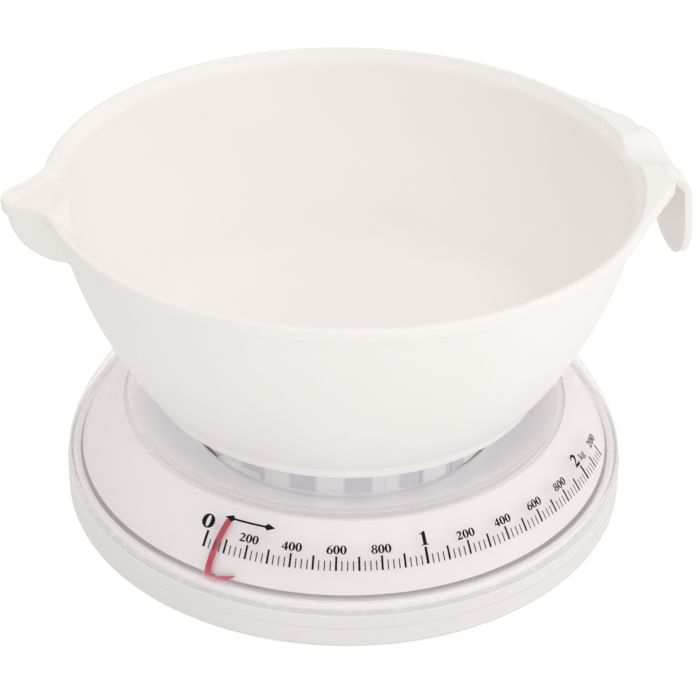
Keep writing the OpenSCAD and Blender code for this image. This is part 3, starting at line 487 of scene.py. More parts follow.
class Finishes:
    """Every finish of the scale, by the record's material slot, and the two printing inks."""

    def __init__(self) -> None:
        """Build each material once."""
        collar_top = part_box("platform")[1].z / MM
        plastics = {
            "bowl_plastic": MouldedPlastic("bowl_white", paint(245, 242, 240), paint(242, 239, 236),
                                           0.36, peel=0.0005),
            "grey_plastic": MouldedPlastic("platform_grey", paint(247, 247, 248), paint(220, 220, 225),
                                           0.3, painted_panels=18, painted_panels_top=collar_top),
            "clear_plastic": ClearPlastic("cover_clear", (0.965, 0.952, 0.956), (0.88, 0.865, 0.875),
                                          opening=79.5, hem=20.0),
            "white_plastic": MouldedPlastic("dial_white", paint(248, 244, 245), paint(244, 240, 241), 0.3),
            "pale_plastic": MouldedPlastic("pan_pale", paint(234, 230, 229), paint(229, 226, 226), 0.16),
            "foot_rubber": FootRubber("foot_rubber", paint(96, 96, 98), paint(128, 126, 124)),
            "red_plastic": MouldedPlastic("pointer_red", paint(194, 12, 62), paint(182, 9, 52)),
            "guide_plastic": MouldedPlastic("guide_white", paint(228, 228, 224), paint(216, 216, 210), 0.4),
        }
        metals = {
            "brass": SheetMetal("brass", (0.78, 0.58, 0.27), (0.62, 0.44, 0.20), 0.26),
            "dark_steel": SheetMetal("dark_steel", (0.13, 0.13, 0.14), (0.08, 0.08, 0.085), 0.42),
            "spring_steel": SheetMetal("spring_steel", (0.56, 0.55, 0.54), (0.40, 0.39, 0.38), 0.28),
            "zinc_steel": SheetMetal("zinc_steel", (0.66, 0.67, 0.69), (0.52, 0.53, 0.56), 0.3,
                                     lines=(9.0, 1.0, 1.0)),
        }
        self.by_slot = {slot: finish.material() for slot, finish in (plastics | metals).items()}
        self.ink = Ink("dial_ink", paint(14, 12, 15), paint(30, 27, 32)).material()
        self.fine_ink = Ink("dial_ink_fine", paint(58, 53, 58), paint(84, 78, 84)).material()

    def dress(self, nodes: dict[str, bpy.types.Object]) -> int:
        """Give every CAD node its finish in its own material slots.

        Args:
            nodes: The CAD nodes by name.

        Returns:
            How many nodes were dressed.
        """
        count = 0
        for node in nodes.values():
            for slot in node.material_slots:
                name = slot.material.name.split(".")[0] if slot.material else ""
                if name in self.by_slot:
                    slot.material = self.by_slot[name]
                    count += 1
        return count


# ------------------------------------------------------------------ shapes


def bulged(start: Point, end: Point, bulge: float, steps: int) -> list[Point]:
    """Points along an arc between two points.

    Args:
        start: The first point.
        end: The last point.
        bulge: How far the arc's middle stands off the straight line, to the right of the way.
        steps: How many pieces the arc has.

    Returns:
        The points, with both ends.
    """
    across = Vector(end) - Vector(start)
    chord = across.length
    side = -1.0 if bulge < 0 else 1.0
    depth = abs(bulge)
    radius = (chord * chord / 4 + depth * depth) / (2 * depth)
    along = across / chord
    out = Vector((along.y, -along.x)) * side
    middle = (Vector(start) + Vector(end)) / 2 - out * (radius - depth)
    half = math.asin(chord / 2 / radius)
    points = []
    for step in range(steps + 1):
        turn = -half + 2 * half * step / steps
        spot = middle + out * radius * math.cos(turn) + along * radius * math.sin(turn)
        points.append((spot.x, spot.y))
    return points


def rounded(corners: Sequence[Triple], steps: int) -> list[Point]:
    """Points along a line whose corners are round.

    Args:
        corners: Each corner's two places and the radius of its round.
        steps: How many pieces each round has.

    Returns:
        The points.
    """
    points: list[Point] = []
    for number, (first, second, radius) in enumerate(corners):
        here = Vector((first, second))
        if radius <= 0 or number in (0, len(corners) - 1):
            points.append((here.x, here.y))
            continue
        back = (Vector(corners[number - 1][:2]) - here).normalized()
        forth = (Vector(corners[number + 1][:2]) - here).normalized()
        opening = back.angle(forth)
        reach = radius / math.tan(opening / 2)
        centre = here + (back + forth).normalized() * radius / math.sin(opening / 2)
        begin = here + back * reach - centre
        finish = here + forth * reach - centre
        swing = begin.angle_signed(finish)
        for step in range(steps + 1):
            turned = begin.copy()
            turned.rotate(Matrix.Rotation(-swing * step / steps, 2))
            points.append((centre.x + turned.x, centre.y + turned.y))
    return points


def soft_max(first: float, second: float, width: float) -> float:
    """The larger of two values, with a smooth change-over.

    Args:
        first: One value.
        second: The other value.
        width: The width of the change-over.

    Returns:
        The larger value, rounded off where they meet.
    """
    share = min(1.0, max(0.0, 0.5 + 0.5 * (first - second) / width))
    return second + (first - second) * share + width * share * (1.0 - share)


def smooth(low: float, high: float, value: float) -> float:
    """A step that rises smoothly from 0 at low to 1 at high."""
    share = min(1.0, max(0.0, (value - low) / (high - low)))
    return share * share * (3.0 - 2.0 * share)


def revolve(profile: Sequence[Point], steps: int, closed: bool = False) -> bmesh.types.BMesh:
    """Spin a side view round the vertical axis.

    Args:
        profile: Radius and height of each point in mm.
        steps: How many steps the full turn has.
        closed: True where the last point joins the first.

    Returns:
        The shape in mm, with its faces outwards.
    """
    bm = bmesh.new()
    verts = [bm.verts.new((radius, 0.0, height)) for radius, height in profile]
    edges = [bm.edges.new(pair) for pair in zip(verts, verts[1:])]
    if closed:
        edges.append(bm.edges.new((verts[-1], verts[0])))
    bmesh.ops.spin(bm, geom=verts + edges, cent=(0, 0, 0), axis=(0, 0, 1), angle=2 * math.pi,
                   steps=steps, use_merge=True)
    bmesh.ops.remove_doubles(bm, verts=bm.verts[:], dist=MERGE)
    bmesh.ops.recalc_face_normals(bm, faces=bm.faces[:])
    return bm


def join(target: bmesh.types.BMesh, source: bmesh.types.BMesh) -> None:
    """Add a shape to another, and free it.

    Args:
        target: The shape that grows.
        source: The shape that is added.
    """
    mesh = bpy.data.meshes.new("joined")
    source.to_mesh(mesh)
    source.free()
    target.from_mesh(mesh)
    bpy.data.meshes.remove(mesh)


def piece(name: str, bm: bmesh.types.BMesh, material: bpy.types.Material, body: str,
          replaced: Iterable[str] = (), crease: float = 35.0) -> bpy.types.Object:
    """Turn a shape in mm into a piece of the scale.

    Args:
        name: The piece's name.
        bm: Its shape in mm.
        material: Its finish.
        body: The body that it moves with.
        replaced: The CAD nodes that it stands for.
        crease: The angle in degrees past which an edge looks sharp.

    Returns:
        The new object.
    """
    bmesh.ops.scale(bm, vec=(MM, MM, MM), verts=bm.verts[:])
    mesh = bpy.data.meshes.new(name)
    bm.to_mesh(mesh)
    bm.free()
    mesh.shade_smooth()
    mesh.set_sharp_from_angle(angle=math.radians(crease))
    mesh.materials.append(material)
    made = bpy.data.objects.new(name, mesh)
    bpy.context.scene.collection.objects.link(made)
    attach(made, body)
    if replaced:
        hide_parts(*replaced)
    log.info("%s: %d faces, rides on %s", name, len(mesh.polygons), body)
    return made


# ------------------------------------------------------------------ bowl


@dataclass
class PouringLip:
    """The V-shaped pouring lip, a ball-shaped bulge in the wall trimmed to a V in plan.

    Args:
        tip: Radius from the bowl's axis to the lip's tip.
        ball_height: Height of the bulge's centre.
        tip_round: The radius of the tip.
        inner_round: The radius of the tip on the inside.
        root: Radius of the circle that the V starts from.
        half_width: Half the width of the V at its root.
        ball: Radius of the bulge.
        ball_out: Radius from the bowl's axis to the bulge's centre.
        step: How far the wall under the band stands back from it.
        wall: Thickness of the wall.
        inner_ease: How much thinner than the wall the V is on its inner side.
        band_inset: How far the rim band stands back from the solid's own V.
        trim: The width over which the ball runs into the V.
        drop: How much lower than the rim the tip lies.
    """

    tip: float
    ball_height: float
    tip_round: float = 9.0
    inner_round: float = 7.0
    root: float = 103.8
    half_width: float = 17.0
    ball: float = 23.6
    ball_out: float = 96.1
    step: float = 1.6
    wall: float = 2.6
    inner_ease: float = 0.4
    band_inset: float = 0.05
    trim: float = 2.0
    drop: float = 1.0

    def outline(self, turn: float, shrink: float, corner: float) -> float:
        """How far the V reaches in one direction.

        Args:
            turn: The direction, in radians from the lip's middle.
            shrink: How much smaller than the outer V it is on all sides.
            corner: The radius of its tip.

        Returns:
            The radius in mm.
        """
        centre = self.tip - shrink - corner
        reach = Vector((self.root - centre, self.half_width - shrink))
        tilt = math.atan2(reach.y, reach.x) - math.acos(corner / reach.length)
        turn = abs(turn)
        touch = math.atan2(corner * math.sin(tilt), centre + corner * math.cos(tilt))
        if turn < touch:
            return centre * math.cos(turn) + math.sqrt(corner ** 2 - (centre * math.sin(turn)) ** 2)
        lean = math.cos(turn - tilt)
        edge_on = 0.05
        return (centre * math.cos(tilt) + corner) / lean if lean > edge_on else 0.0

    def bulge(self, turn: float, height: float, shrink: float) -> float:
        """How far the ball reaches in one direction at one height.

        Args:
            turn: The direction, in radians from the lip's middle.
            height: The height in mm.
            shrink: How much smaller the ball is.

        Returns:
            The radius in mm, or 0 where the ball isn't met.
        """
        rise = min(height, self.ball_height) - self.ball_height
        room = (self.ball - shrink) ** 2 - (self.ball_out * math.sin(turn)) ** 2 - rise ** 2
        return self.ball_out * math.cos(turn) + math.sqrt(room) if room > 0 else 0.0

    def trimmed(self, ball: float, edge: float) -> float:
        """The ball's reach cut off softly by the V, or 0 where the ball isn't met."""
        return -soft_max(-ball, -edge, self.trim) if ball > 0 else 0.0

    def band(self, turn: float) -> float:
        """How far the rim band reaches in one direction."""
        return self.outline(turn, self.band_inset, self.tip_round)

    def outside(self, turn: float, height: float) -> float:
        """How far the wall's outer side reaches in one direction at one height."""
        edge = self.outline(turn, self.step, self.tip_round)
        return self.trimmed(self.bulge(turn, height, 0.0), edge)

    def inside(self, turn: float, height: float) -> float:
        """How far the wall's inner side reaches in one direction at one height."""
        edge = self.outline(turn, self.step + self.wall - self.inner_ease, self.inner_round)
        return self.trimmed(self.bulge(turn, height, self.wall), edge)


@dataclass
class HookHandle:
    """The hook that grows out of the rim opposite the lip, with a thumb channel over its crest.

    Args:
        outer: Distance from the bowl's axis to the hook's outer side.
        crest: Height of the hook's top.
        width: Width of the strap.
        drop: Height from its crest down to its round end.
        arch: Radius of its bend.
        thickness: Thickness of the strap.
        splay: How far the leg leans outwards.
        channel_width: Width of the thumb channel.
        channel_depth: Depth of the thumb channel.
        corner: How far the flare's corner lies inside the hook's outer side and the strap's edge.
        corner_round: The radius of that corner.
        overlap: How far the flare runs in under the strap and the rim.
        front_blend: The width over which the flare's side runs into its front.
        rim_blend: The width over which the flare runs into the rim.
        rolled: Width of the strap's rolled edges.
        roll: How fast they fall, in mm for each square mm.
        edge_round: The radius of its edges.
    """

    outer: float
    crest: float
    width: float = 43.0
    drop: float = 40.5
    arch: float = 9.0
    thickness: float = 2.8
    splay: float = 3.6
    channel_width: float = 26.0
    channel_depth: float = 2.8
    corner: Point = (13.5, 5.0)
    corner_round: float = 10.0
    overlap: float = 1.0
    front_blend: float = 1.5
    rim_blend: float = 0.6
    rolled: float = 6.0
    roll: float = 0.035
    edge_round: float = 0.9

    def channel(self, across: float) -> float:
        """How deep the thumb channel is at one place across the strap."""
        half = self.channel_width / 2
        bend = (half ** 2 + self.channel_depth ** 2) / (2 * self.channel_depth)
        if abs(across) >= half:
            return 0.0
        return self.channel_depth - bend + math.sqrt(bend ** 2 - across ** 2)

    def flange(self, turn: float, rim: float) -> float:
        """How far the widened rim reaches in one direction.

        Args:
            turn: The direction, in radians from the handle's middle.
            rim: The rim's own radius.

        Returns:
            The radius in mm.
        """
        corner = Vector((self.outer - self.corner[0], self.width / 2 - self.corner[1]))
        circle = rim - self.overlap
        tilt = math.atan2(corner.y, corner.x) + math.acos((circle - self.corner_round) / corner.length)
        turn = abs(turn)
        if turn >= tilt:
            return rim
        side = circle / math.cos(turn - tilt)
        front = (self.outer - self.arch + self.overlap) / math.cos(turn)
        return soft_max(rim, -soft_max(-side, -front, self.front_blend), self.rim_blend)

    def path(self, inner: float, low: float) -> list[tuple[Vector, Vector]]:
        """The side view of the strap's outer face.

        Args:
            inner: The radius at which the strap starts.
            low: The height at which it starts.

        Returns:
            Each point's place and its outward direction, as radius and height.
        """
        top_end = self.outer - self.arch
        along, round_bend, down_leg = 12, 24, 40
        line: list[tuple[Vector, Vector]] = []
        for step in range(along):
            share = step / along
            height = low + (self.crest - low) * smooth(0, 1, share)
            line.append((Vector((inner + (top_end - inner) * share, height)), Vector((0.0, 1.0))))
        centre = Vector((top_end, self.crest - self.arch))
        lean = math.atan2(self.splay, self.drop - self.arch)
        for step in range(round_bend + 1):
            turn = math.pi / 2 - (math.pi / 2 - lean) * step / round_bend
            out = Vector((math.cos(turn), math.sin(turn)))
            line.append((centre + out * self.arch, out))
        spot, out = line[-1]
        down = Vector((out.y, -out.x))
        length = (spot.y - (self.crest - self.drop)) / -down.y
        for step in range(1, down_leg + 1):
            line.append((spot + down * length * step / down_leg, out))
        return line

    def half_width(self, height: float) -> float:
        """Half the strap's width at one height: its lower end is round."""
        radius = self.width / 2
        middle = self.crest - self.drop + radius
        if height >= middle:
            return radius
        narrowest = 0.2
        return math.sqrt(max(radius ** 2 - (middle - height) ** 2, narrowest ** 2))

    def strap(self, inner: float, low: float) -> bmesh.types.BMesh:
        """The strap's outer face as a sheet, bent and dished, then given its thickness.

        Args:
            inner: The radius at which the strap starts.
            low: The height at which it starts.

        Returns:
            The shape in mm.
        """
        path = self.path(inner, low)
        columns = 44
        edge = self.width / 2 - self.rolled
        bm = bmesh.new()
        bmesh.ops.create_grid(bm, x_segments=len(path) - 1, y_segments=columns, size=1.0)
        for vert in bm.verts:
            number = round((vert.co.x + 1.0) / 2.0 * (len(path) - 1))
            spot, out = path[number]
            across = vert.co.y * self.half_width(spot.y)
            # The channel and the rolled edges fade out where the strap turns down.
            level = smooth(0.15, 0.85, out.y)
            past = max(abs(across) - edge, 0.0)
            sink = (self.channel(across) + self.roll * past * past) * level
            place = spot - out * sink
            vert.co = Vector((place.x, across, place.y))
        bmesh.ops.recalc_face_normals(bm, faces=bm.faces[:])
        top_end = self.outer - self.arch
        if sum(face.normal.z for face in bm.faces if face.calc_center_median().x < top_end) < 0:
            bmesh.ops.reverse_faces(bm, faces=bm.faces[:])
        return bm


@dataclass
class Bowl:
    """The white bowl with its foot ring, banded rim, pouring lip and hook handle.

    Args:
        finishes: The finishes.
        depth: Height of the rim over the seat.
        foot: Outer radius of the foot ring at its seat.
        foot_ring: Height of the foot ring.
        floor_lift: Height of the floor's underside over the seat.
        wall: Thickness of the wall.
        bulge: How far the wall's middle swells out of the straight line.
        band: Height of the rim band.
        band_step: How far the band stands out over the wall.
        floor_bend: Height of the curve between wall and floor.
        changed: How far in from the rim, and from what height over the seat, lip and handle show.
        lip_share: Half the angle in radians that the lip may change.
        flare_share: Half the angle in radians that the handle's flare may change.
        lip_blend: The width over which the wall runs into the lip.
        band_blend: The width over which the rim runs into the lip.
        dip_length: How far out of the rim the lip reaches its full drop.
        crowding: How much closer the rows stand at the lip and the handle.
        steps: How many steps the bowl's turn has.
        sharp: The angle in degrees past which an edge looks sharp.
        inset: How far the rim stays inside the solid's reach.
        ball_drop: How far under the rim the middle of the lip's bulge lies.
        leg_margin: How far the handle's leg stays inside the solid's reach.
        slack: How near to a level a point counts as lying on it.
        flare_start: How far in from the rim the flare starts to grow, and the width it grows over.
        strap_start: Where the strap starts, out from the rim and down from its top.

    Attributes:
        rim: Radius of the rim.
        low: Height of the seat.
        top: Height of the rim.
        lip: The pouring lip.
        handle: The hook handle.
    """

    finishes: Finishes
    depth: float = 79.8
    foot: float = 73.2
    foot_ring: float = 5.4
    floor_lift: float = 3.0
    wall: float = 2.6
    bulge: float = 4.46
    band: float = 4.6
    band_step: float = 3.6
    floor_bend: float = 11.0
    changed: Point = (18.0, 30.0)
    lip_share: float = 0.6
    flare_share: float = 0.9
    lip_blend: float = 3.5
    band_blend: float = 4.5
    dip_length: float = 10.0
    crowding: float = 0.36
    steps: int = 360
    sharp: float = 50.0
    inset: float = 0.01
    ball_drop: float = 1.8
    leg_margin: float = 0.1
    slack: float = 0.1
    flare_start: Point = (2.2, 1.1)
    strap_start: Point = (1.5, 1.0)
    rim: float = field(init=False)
    low: float = field(init=False)
    top: float = field(init=False)
    lip: PouringLip = field(init=False)
    handle: HookHandle = field(init=False)

    def __post_init__(self) -> None:
        """Work out the bowl's heights and reach from the frame."""
        lowest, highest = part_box("bowl")
        self.low = lowest.z / MM
        self.top = self.low + self.depth
        self.rim = highest.y / MM - self.inset
        self.lip = PouringLip(tip=-lowest.x / MM, ball_height=self.top - self.ball_drop)
        outer = highest.x / MM - (HookHandle.splay + self.leg_margin)
        self.handle = HookHandle(outer=outer, crest=highest.z / MM)

    @property
    def wall_foot(self) -> Point:
        """Where the wall's outer side starts, over the foot ring."""
        return self.foot + self.wall, self.low + self.foot_ring

    @property
    def wall_top(self) -> Point:
        """Where the wall's outer side ends, under the rim band."""
        return self.rim - self.band_step, self.top - self.band

    @property
    def inner_top(self) -> Point:
        """Where the wall's inner side ends."""
        return self.wall_top[0] - self.wall, self.wall_top[1]

    def underside(self) -> list[Point]:
        """The side view from the axis out over the seat to the wall: each corner has its own round."""
        inner = self.foot - self.wall
        wall, shoulder = self.wall_foot
        under = self.low + self.floor_lift
        return rounded([(0.0, under, 0.0), (inner, under, 1.0), (inner, self.low, 0.5),
                        (self.foot, self.low, 0.6), (self.foot + 0.35, shoulder - 0.35, 0.5),
                        (wall - 0.6, shoulder, 0.4), (wall, shoulder, 0.0)], steps=4)

    def rim_band(self) -> list[Point]:
        """The side view of the rim band: out, up, over its bead and down to the inner wall."""
        rim, top, under = self.rim, self.top, self.wall_top[1]
        return rounded([(*self.wall_top, 0.0), (rim - 1.8, under, 0.0), (rim - 1.2, under, 0.0),
                        (rim, under, 0.8), (rim, top, 1.1), (rim - 1.3, top, 0.0),
                        (rim - 1.6, top, 0.0), (rim - 2.4, top, 0.6),
                        (rim - 3.6, top - 2.0, 1.6), (*self.inner_top, 0.0)], steps=7)

    def profile(self) -> list[Point]:
        """The side view of the round bowl, from its seat out, up and over to the floor."""
        floor = self.low + self.floor_lift + self.wall
        wall = bulged(self.wall_foot, self.wall_top, self.bulge, 84)
        inner_foot = (self.wall_foot[0] - self.wall * 1.3, floor)
        inside = bulged(self.inner_top, inner_foot, -self.bulge, 84)
        keep = [point for point in inside if point[1] > floor + self.floor_bend]
        bend = self.fillet(keep[-1], keep[-2], floor)
        level = [(radius, floor) for radius in (40.0, 20.0, 0.0)]
        return self.underside() + wall[1:-1] + self.rim_band() + keep[1:] + bend + level

    @staticmethod
    def fillet(side: Point, before: Point, floor: float, steps: int = 16) -> list[Point]:
        """The curve between the wall and the floor.

        Args:
            side: The wall's last point.
            before: The wall's point before it.
            floor: The floor's height.
            steps: How many pieces the curve has.

        Returns:
            The curve's points.
        """
        start = Vector(side)
        slope = (start - Vector(before)).normalized()
        corner = start + slope * ((start.y - floor) / -slope.y)
        longer = 1.2
        end = Vector((corner.x - (corner - start).length * longer, floor))
        points = []
        for step in range(1, steps + 1):
            share = step / steps
            spot = start * (1 - share) ** 2 + corner * 2 * share * (1 - share) + end * share ** 2
            points.append((spot.x, spot.y))
        return points

    def shaped(self, place: Vector) -> Vector:
        """Where a point of the round bowl goes in the bowl with its lip and its widened rim.

        Args:
            place: The point in mm.

        Returns:
            The moved point in mm.
        """
        radius, height = math.hypot(place.x, place.y), place.z
        inward, upward = self.changed
        if radius < self.rim - inward or height < self.low + upward:
            return place
        from_lip = math.atan2(place.y, -place.x)
        if abs(from_lip) < self.lip_share:
            return self.lipped(place, from_lip, radius, height)
        from_handle = math.atan2(place.y, place.x)
        if abs(from_handle) < self.flare_share and height > self.wall_top[1] - 2 * self.slack:
            start, width = self.flare_start
            side = min(1.0, max(0.0, (radius - (self.rim - start)) / width))
            grown = (self.handle.flange(from_handle, self.rim) - self.rim) * side
            spot = self.moved(place, radius + grown, height)
            spot.z = min(spot.z, self.handle.crest - self.handle.channel(spot.y))
            return spot
        return place

    def lipped(self, place: Vector, turn: float, radius: float, height: float) -> Vector:
        """Where a point near the lip goes.

        Args:
            place: The point in mm.
            turn: Its direction from the lip's middle in radians.
            radius: Its radius.
            height: Its height.

        Returns:
            The moved point in mm.
        """
        lip = self.lip
        wall, under = self.wall_top
        inner = self.inner_top[0]
        if height < under - self.slack:
            reach = lip.outside(turn, height) if radius > self.middle(height) else lip.inside(turn, height)
            return self.moved(place, soft_max(radius, reach, self.lip_blend), height)
        outer_to = soft_max(self.rim, lip.band(turn), self.band_blend)
        if height < under + 3 * self.slack and radius > wall - self.slack:
            start, start_to = wall, soft_max(wall, lip.outside(turn, under), self.lip_blend)
        else:
            start, start_to = inner, soft_max(inner, lip.inside(turn, under), self.lip_blend)
        share = (radius - start) / (self.rim - start)
        grown = start_to + (outer_to - start_to) * share
        dip = lip.drop * smooth(0.0, self.dip_length, outer_to - self.rim)
        return self.moved(place, max(radius, grown), height - dip)

    @staticmethod
    def moved(place: Vector, radius: float, height: float) -> Vector:
        """The same direction from the axis at another radius and height."""
        share = radius / max(math.hypot(place.x, place.y), 1e-6)
        return Vector((place.x * share, place.y * share, height))

    def middle(self, height: float) -> float:
        """The radius of the wall's middle at one height."""
        foot, top = self.wall_foot, self.wall_top
        fullness, inward = 1.08, 0.6
        share = (height - foot[1]) / (top[1] - foot[1])
        bow = 4 * self.bulge * share * (1 - share) * fullness
        return foot[0] + (top[0] - foot[0]) * share + bow - self.wall * inward

    def shell(self) -> bmesh.types.BMesh:
        """The bowl spun round its axis, with its lip and its rim drawn out."""
        bm = revolve(self.profile(), self.steps)
        for vert in bm.verts:
            turn = math.atan2(vert.co.y, vert.co.x)
            crowded = turn - self.crowding * math.sin(2 * turn)
            radius = math.hypot(vert.co.x, vert.co.y)
            spot = Vector((radius * math.cos(crowded), radius * math.sin(crowded), vert.co.z))
            vert.co = self.shaped(spot)
        return bm

    def build(self) -> None:
        """Make the bowl, and hang its handle."""
        plastic = self.finishes.by_slot["bowl_plastic"]
        piece("bowl_shell", self.shell(), plastic, "bowl", ["bowl"], self.sharp)
        outward, down = self.strap_start
        sheet = self.handle.strap(self.rim + outward, self.top - down)
        strap = piece("bowl_handle", sheet, plastic, "bowl", ["bowl"], self.sharp)
        wall = strap.modifiers.new("strap_thickness", "SOLIDIFY")
        wall.thickness = self.handle.thickness * MM
        wall.offset = -1.0
        edge = strap.modifiers.new("strap_edge", "BEVEL")
        edge.width = self.handle.edge_round * MM
        edge.segments = 3
        edge.limit_method = "ANGLE"
        edge.angle_limit = math.radians(self.sharp)


# ------------------------------------------------------------------ pointer


@dataclass(frozen=True)
class DomeArc:
    """An arc spun round the axis: the shape that the cover's dome and the pointer's strip share.

    Args:
        radius: The arc's radius.
        centre: Radius of the arc's centre from the axis.
        height: Height of the arc's centre.
    """

    radius: float
    centre: float = 64.0005
    height: float = 5.71695

    @property
    def degree(self) -> float:
        """The length of one degree up the arc."""
        return math.radians(1.0) * self.radius

    def ring(self, rise: float, lift: float = 0.0) -> float:
        """The radius from the axis at a slope in radians, off the arc by the lift."""
        return self.centre + (self.radius + lift) * math.cos(rise)

    def spot(self, turn: float, rise: float, lift: float = 0.0) -> Vector:
        """A place on the dome.

        Args:
            turn: Its direction round the axis in radians.
            rise: Its slope up the arc in radians.
            lift: How far it lies off the dome.

        Returns:
            The place in mm.
        """
        ring = self.ring(rise, lift)
        height = self.height + (self.radius + lift) * math.sin(rise)
        return Vector((ring * math.cos(turn), ring * math.sin(turn), height))


@dataclass
class Pointer:
    """The red pointer: a hub and an arm under the dial body, and a J-shaped strip that lies over it.

    Args:
        finishes: The finishes.
        arc: The arc that the middle of the strip lies on.
        thickness: The arm's thickness.
        strip_thickness: The strip's thickness.
        width: The strip's width.
        direction: Where the arm points, in degrees round the axis.
        lean: How many degrees the tip stands further round than the arm.
        lean_radius: The radius at which that lean is measured.
        curl: How much of the lean is gathered at the tip.
        tip: Where the tip is, in degrees up the arc.
        low: Where the foot runs, in degrees up the arc.
        bend: Radius in mm of the bend between strip and foot.
        bend_turn: How many degrees the bend turns.
        foot: Length of the foot in mm.
        foot_rise: How many degrees up the arc the foot's end climbs.
        foot_curl: How much of that climb is gathered at the foot's end.
        foot_end: The share of the strip's width that is left at the foot's end.
        tapered: How many points of its line the foot tapers over.
        hub: Radius of the hub.
        hub_rim: How far the hub stands over and under the arm.
        hub_round: The radius of the hub's edges.
        bore: Radius of the spindle.
        arm_low: Height of the arm's underside.
        arm_root: Where the arm starts, from the axis.
        arm_half: Half the arm's width there.
        arm_lift: How far the arm's end rises, to clear the base pan's spigot.
        lift_start: How far in from the arm's end it starts to rise.
        lift_length: The length over which it rises.
    """

    finishes: Finishes
    arc: DomeArc = DomeArc(38.6026)
    thickness: float = 1.3
    strip_thickness: float = 1.1
    width: float = 1.8
    direction: float = -127.75
    lean: float = 1.55
    lean_radius: float = 88.0
    curl: float = 1.7
    tip: float = 50.6
    low: float = 19.4
    bend: float = 2.4
    bend_turn: float = 100.0
    foot: float = 7.0
    foot_rise: float = 4.2
    foot_curl: float = 1.4
    foot_end: float = 0.3
    tapered: int = 6
    hub: float = 5.0
    hub_rim: float = 1.2
    hub_round: float = 0.4
    bore: float = 1.2
    arm_low: float = 16.8
    arm_root: float = 4.0
    arm_half: float = 3.4
    arm_lift: float = 0.95
    lift_start: float = 3.0
    lift_length: float = 1.6

    def line(self) -> list[Point]:
        """The middle of the strip laid flat: mm round the axis from the arm, and degrees up the arc."""
        straight, bent, along = 20, 10, 8
        degree = self.arc.degree
        points: list[Point] = []
        for step in range(straight + 1):
            share = step / straight
            lean = self.lean * (1.0 - share) ** self.curl * math.radians(self.lean_radius)
            points.append((lean, self.tip + (self.low + self.bend / degree - self.tip) * share))
        for step in range(1, bent + 1):
            turn = math.radians(self.bend_turn) * step / bent
            rise = self.bend * (1.0 - math.sin(turn)) / degree
            points.append((self.bend * (1.0 - math.cos(turn)), self.low + rise))
        last = points[-1]
        for step in range(1, along + 1):
            share = step / along
            points.append((last[0] + self.foot * share, last[1] + self.foot_rise * share ** self.foot_curl))
        return points

    def strip(self) -> bmesh.types.BMesh:
        """The J-shaped strip: a flat grid bent along its line on the arc, then made solid."""
        line = self.line()
        end = len(line) - 1
        bm = bmesh.new()
        bmesh.ops.create_grid(bm, x_segments=end, y_segments=2, size=1.0)
        outer = DomeArc(self.arc.radius + self.strip_thickness / 2)
        for vert in bm.verts:
            number = round((vert.co.x + 1.0) / 2.0 * end)
            across, up = line[number]
            before, after = line[max(number - 1, 0)], line[min(number + 1, end)]
            way = Vector((after[0] - before[0], (after[1] - before[1]) * self.arc.degree)).normalized()
            share = min(1.0, self.foot_end + (end - number) / self.tapered)
            aside = vert.co.y * self.width / 2 * share
            rise = math.radians(up + way.x * aside / self.arc.degree)
            turn = math.radians(self.direction) + (across - way.y * aside) / outer.ring(rise)
            vert.co = outer.spot(turn, rise)
        bmesh.ops.recalc_face_normals(bm, faces=bm.faces[:])
        if sum(face.normal.z for face in bm.faces) < 0:
            bmesh.ops.reverse_faces(bm, faces=bm.faces[:])
        bmesh.ops.solidify(bm, geom=bm.faces[:], thickness=self.strip_thickness)
        return bm

    def arm(self) -> bmesh.types.BMesh:
        """The tapered arm from the hub out to the foot of the strip."""
        reach = self.arc.ring(math.radians(self.low))
        bm = bmesh.new()
        bmesh.ops.create_grid(bm, x_segments=96, y_segments=1, size=0.5)
        for vert in bm.verts:
            share = vert.co.x + 0.5
            half = self.arm_half + (self.width / 2 - self.arm_half) * share
            along = self.arm_root + (reach - self.arm_root) * share
            risen = max(0.0, min(1.0, (along - reach + self.lift_start) / self.lift_length))
            vert.co = Vector((along, vert.co.y * 2 * half, self.arm_low + self.arm_lift * risen))
        walls = bmesh.ops.extrude_face_region(bm, geom=bm.faces[:])
        raised = [item for item in walls["geom"] if isinstance(item, bmesh.types.BMVert)]
        bmesh.ops.translate(bm, vec=(0.0, 0.0, self.thickness), verts=raised)
        swing = Matrix.Rotation(math.radians(self.direction), 3, "Z")
        bmesh.ops.rotate(bm, cent=(0, 0, 0), matrix=swing, verts=bm.verts[:])
        bmesh.ops.recalc_face_normals(bm, faces=bm.faces[:])
        return bm

    def build(self) -> None:
        """Make the pointer in one piece."""
        low, high = self.arm_low - self.hub_rim, self.arm_low + self.thickness + self.hub_rim
        hub = [(self.bore, low, 0.0), (self.hub, low, self.hub_round),
               (self.hub, high, self.hub_round), (self.bore, high, 0.0)]
        bm = revolve(rounded(hub, steps=3), 48, closed=True)
        join(bm, self.arm())
        join(bm, self.strip())
        red = self.finishes.by_slot["red_plastic"]
        piece("pointer_strip", bm, red, "pointer", ["pointer"])


# ------------------------------------------------------------------ printed dial


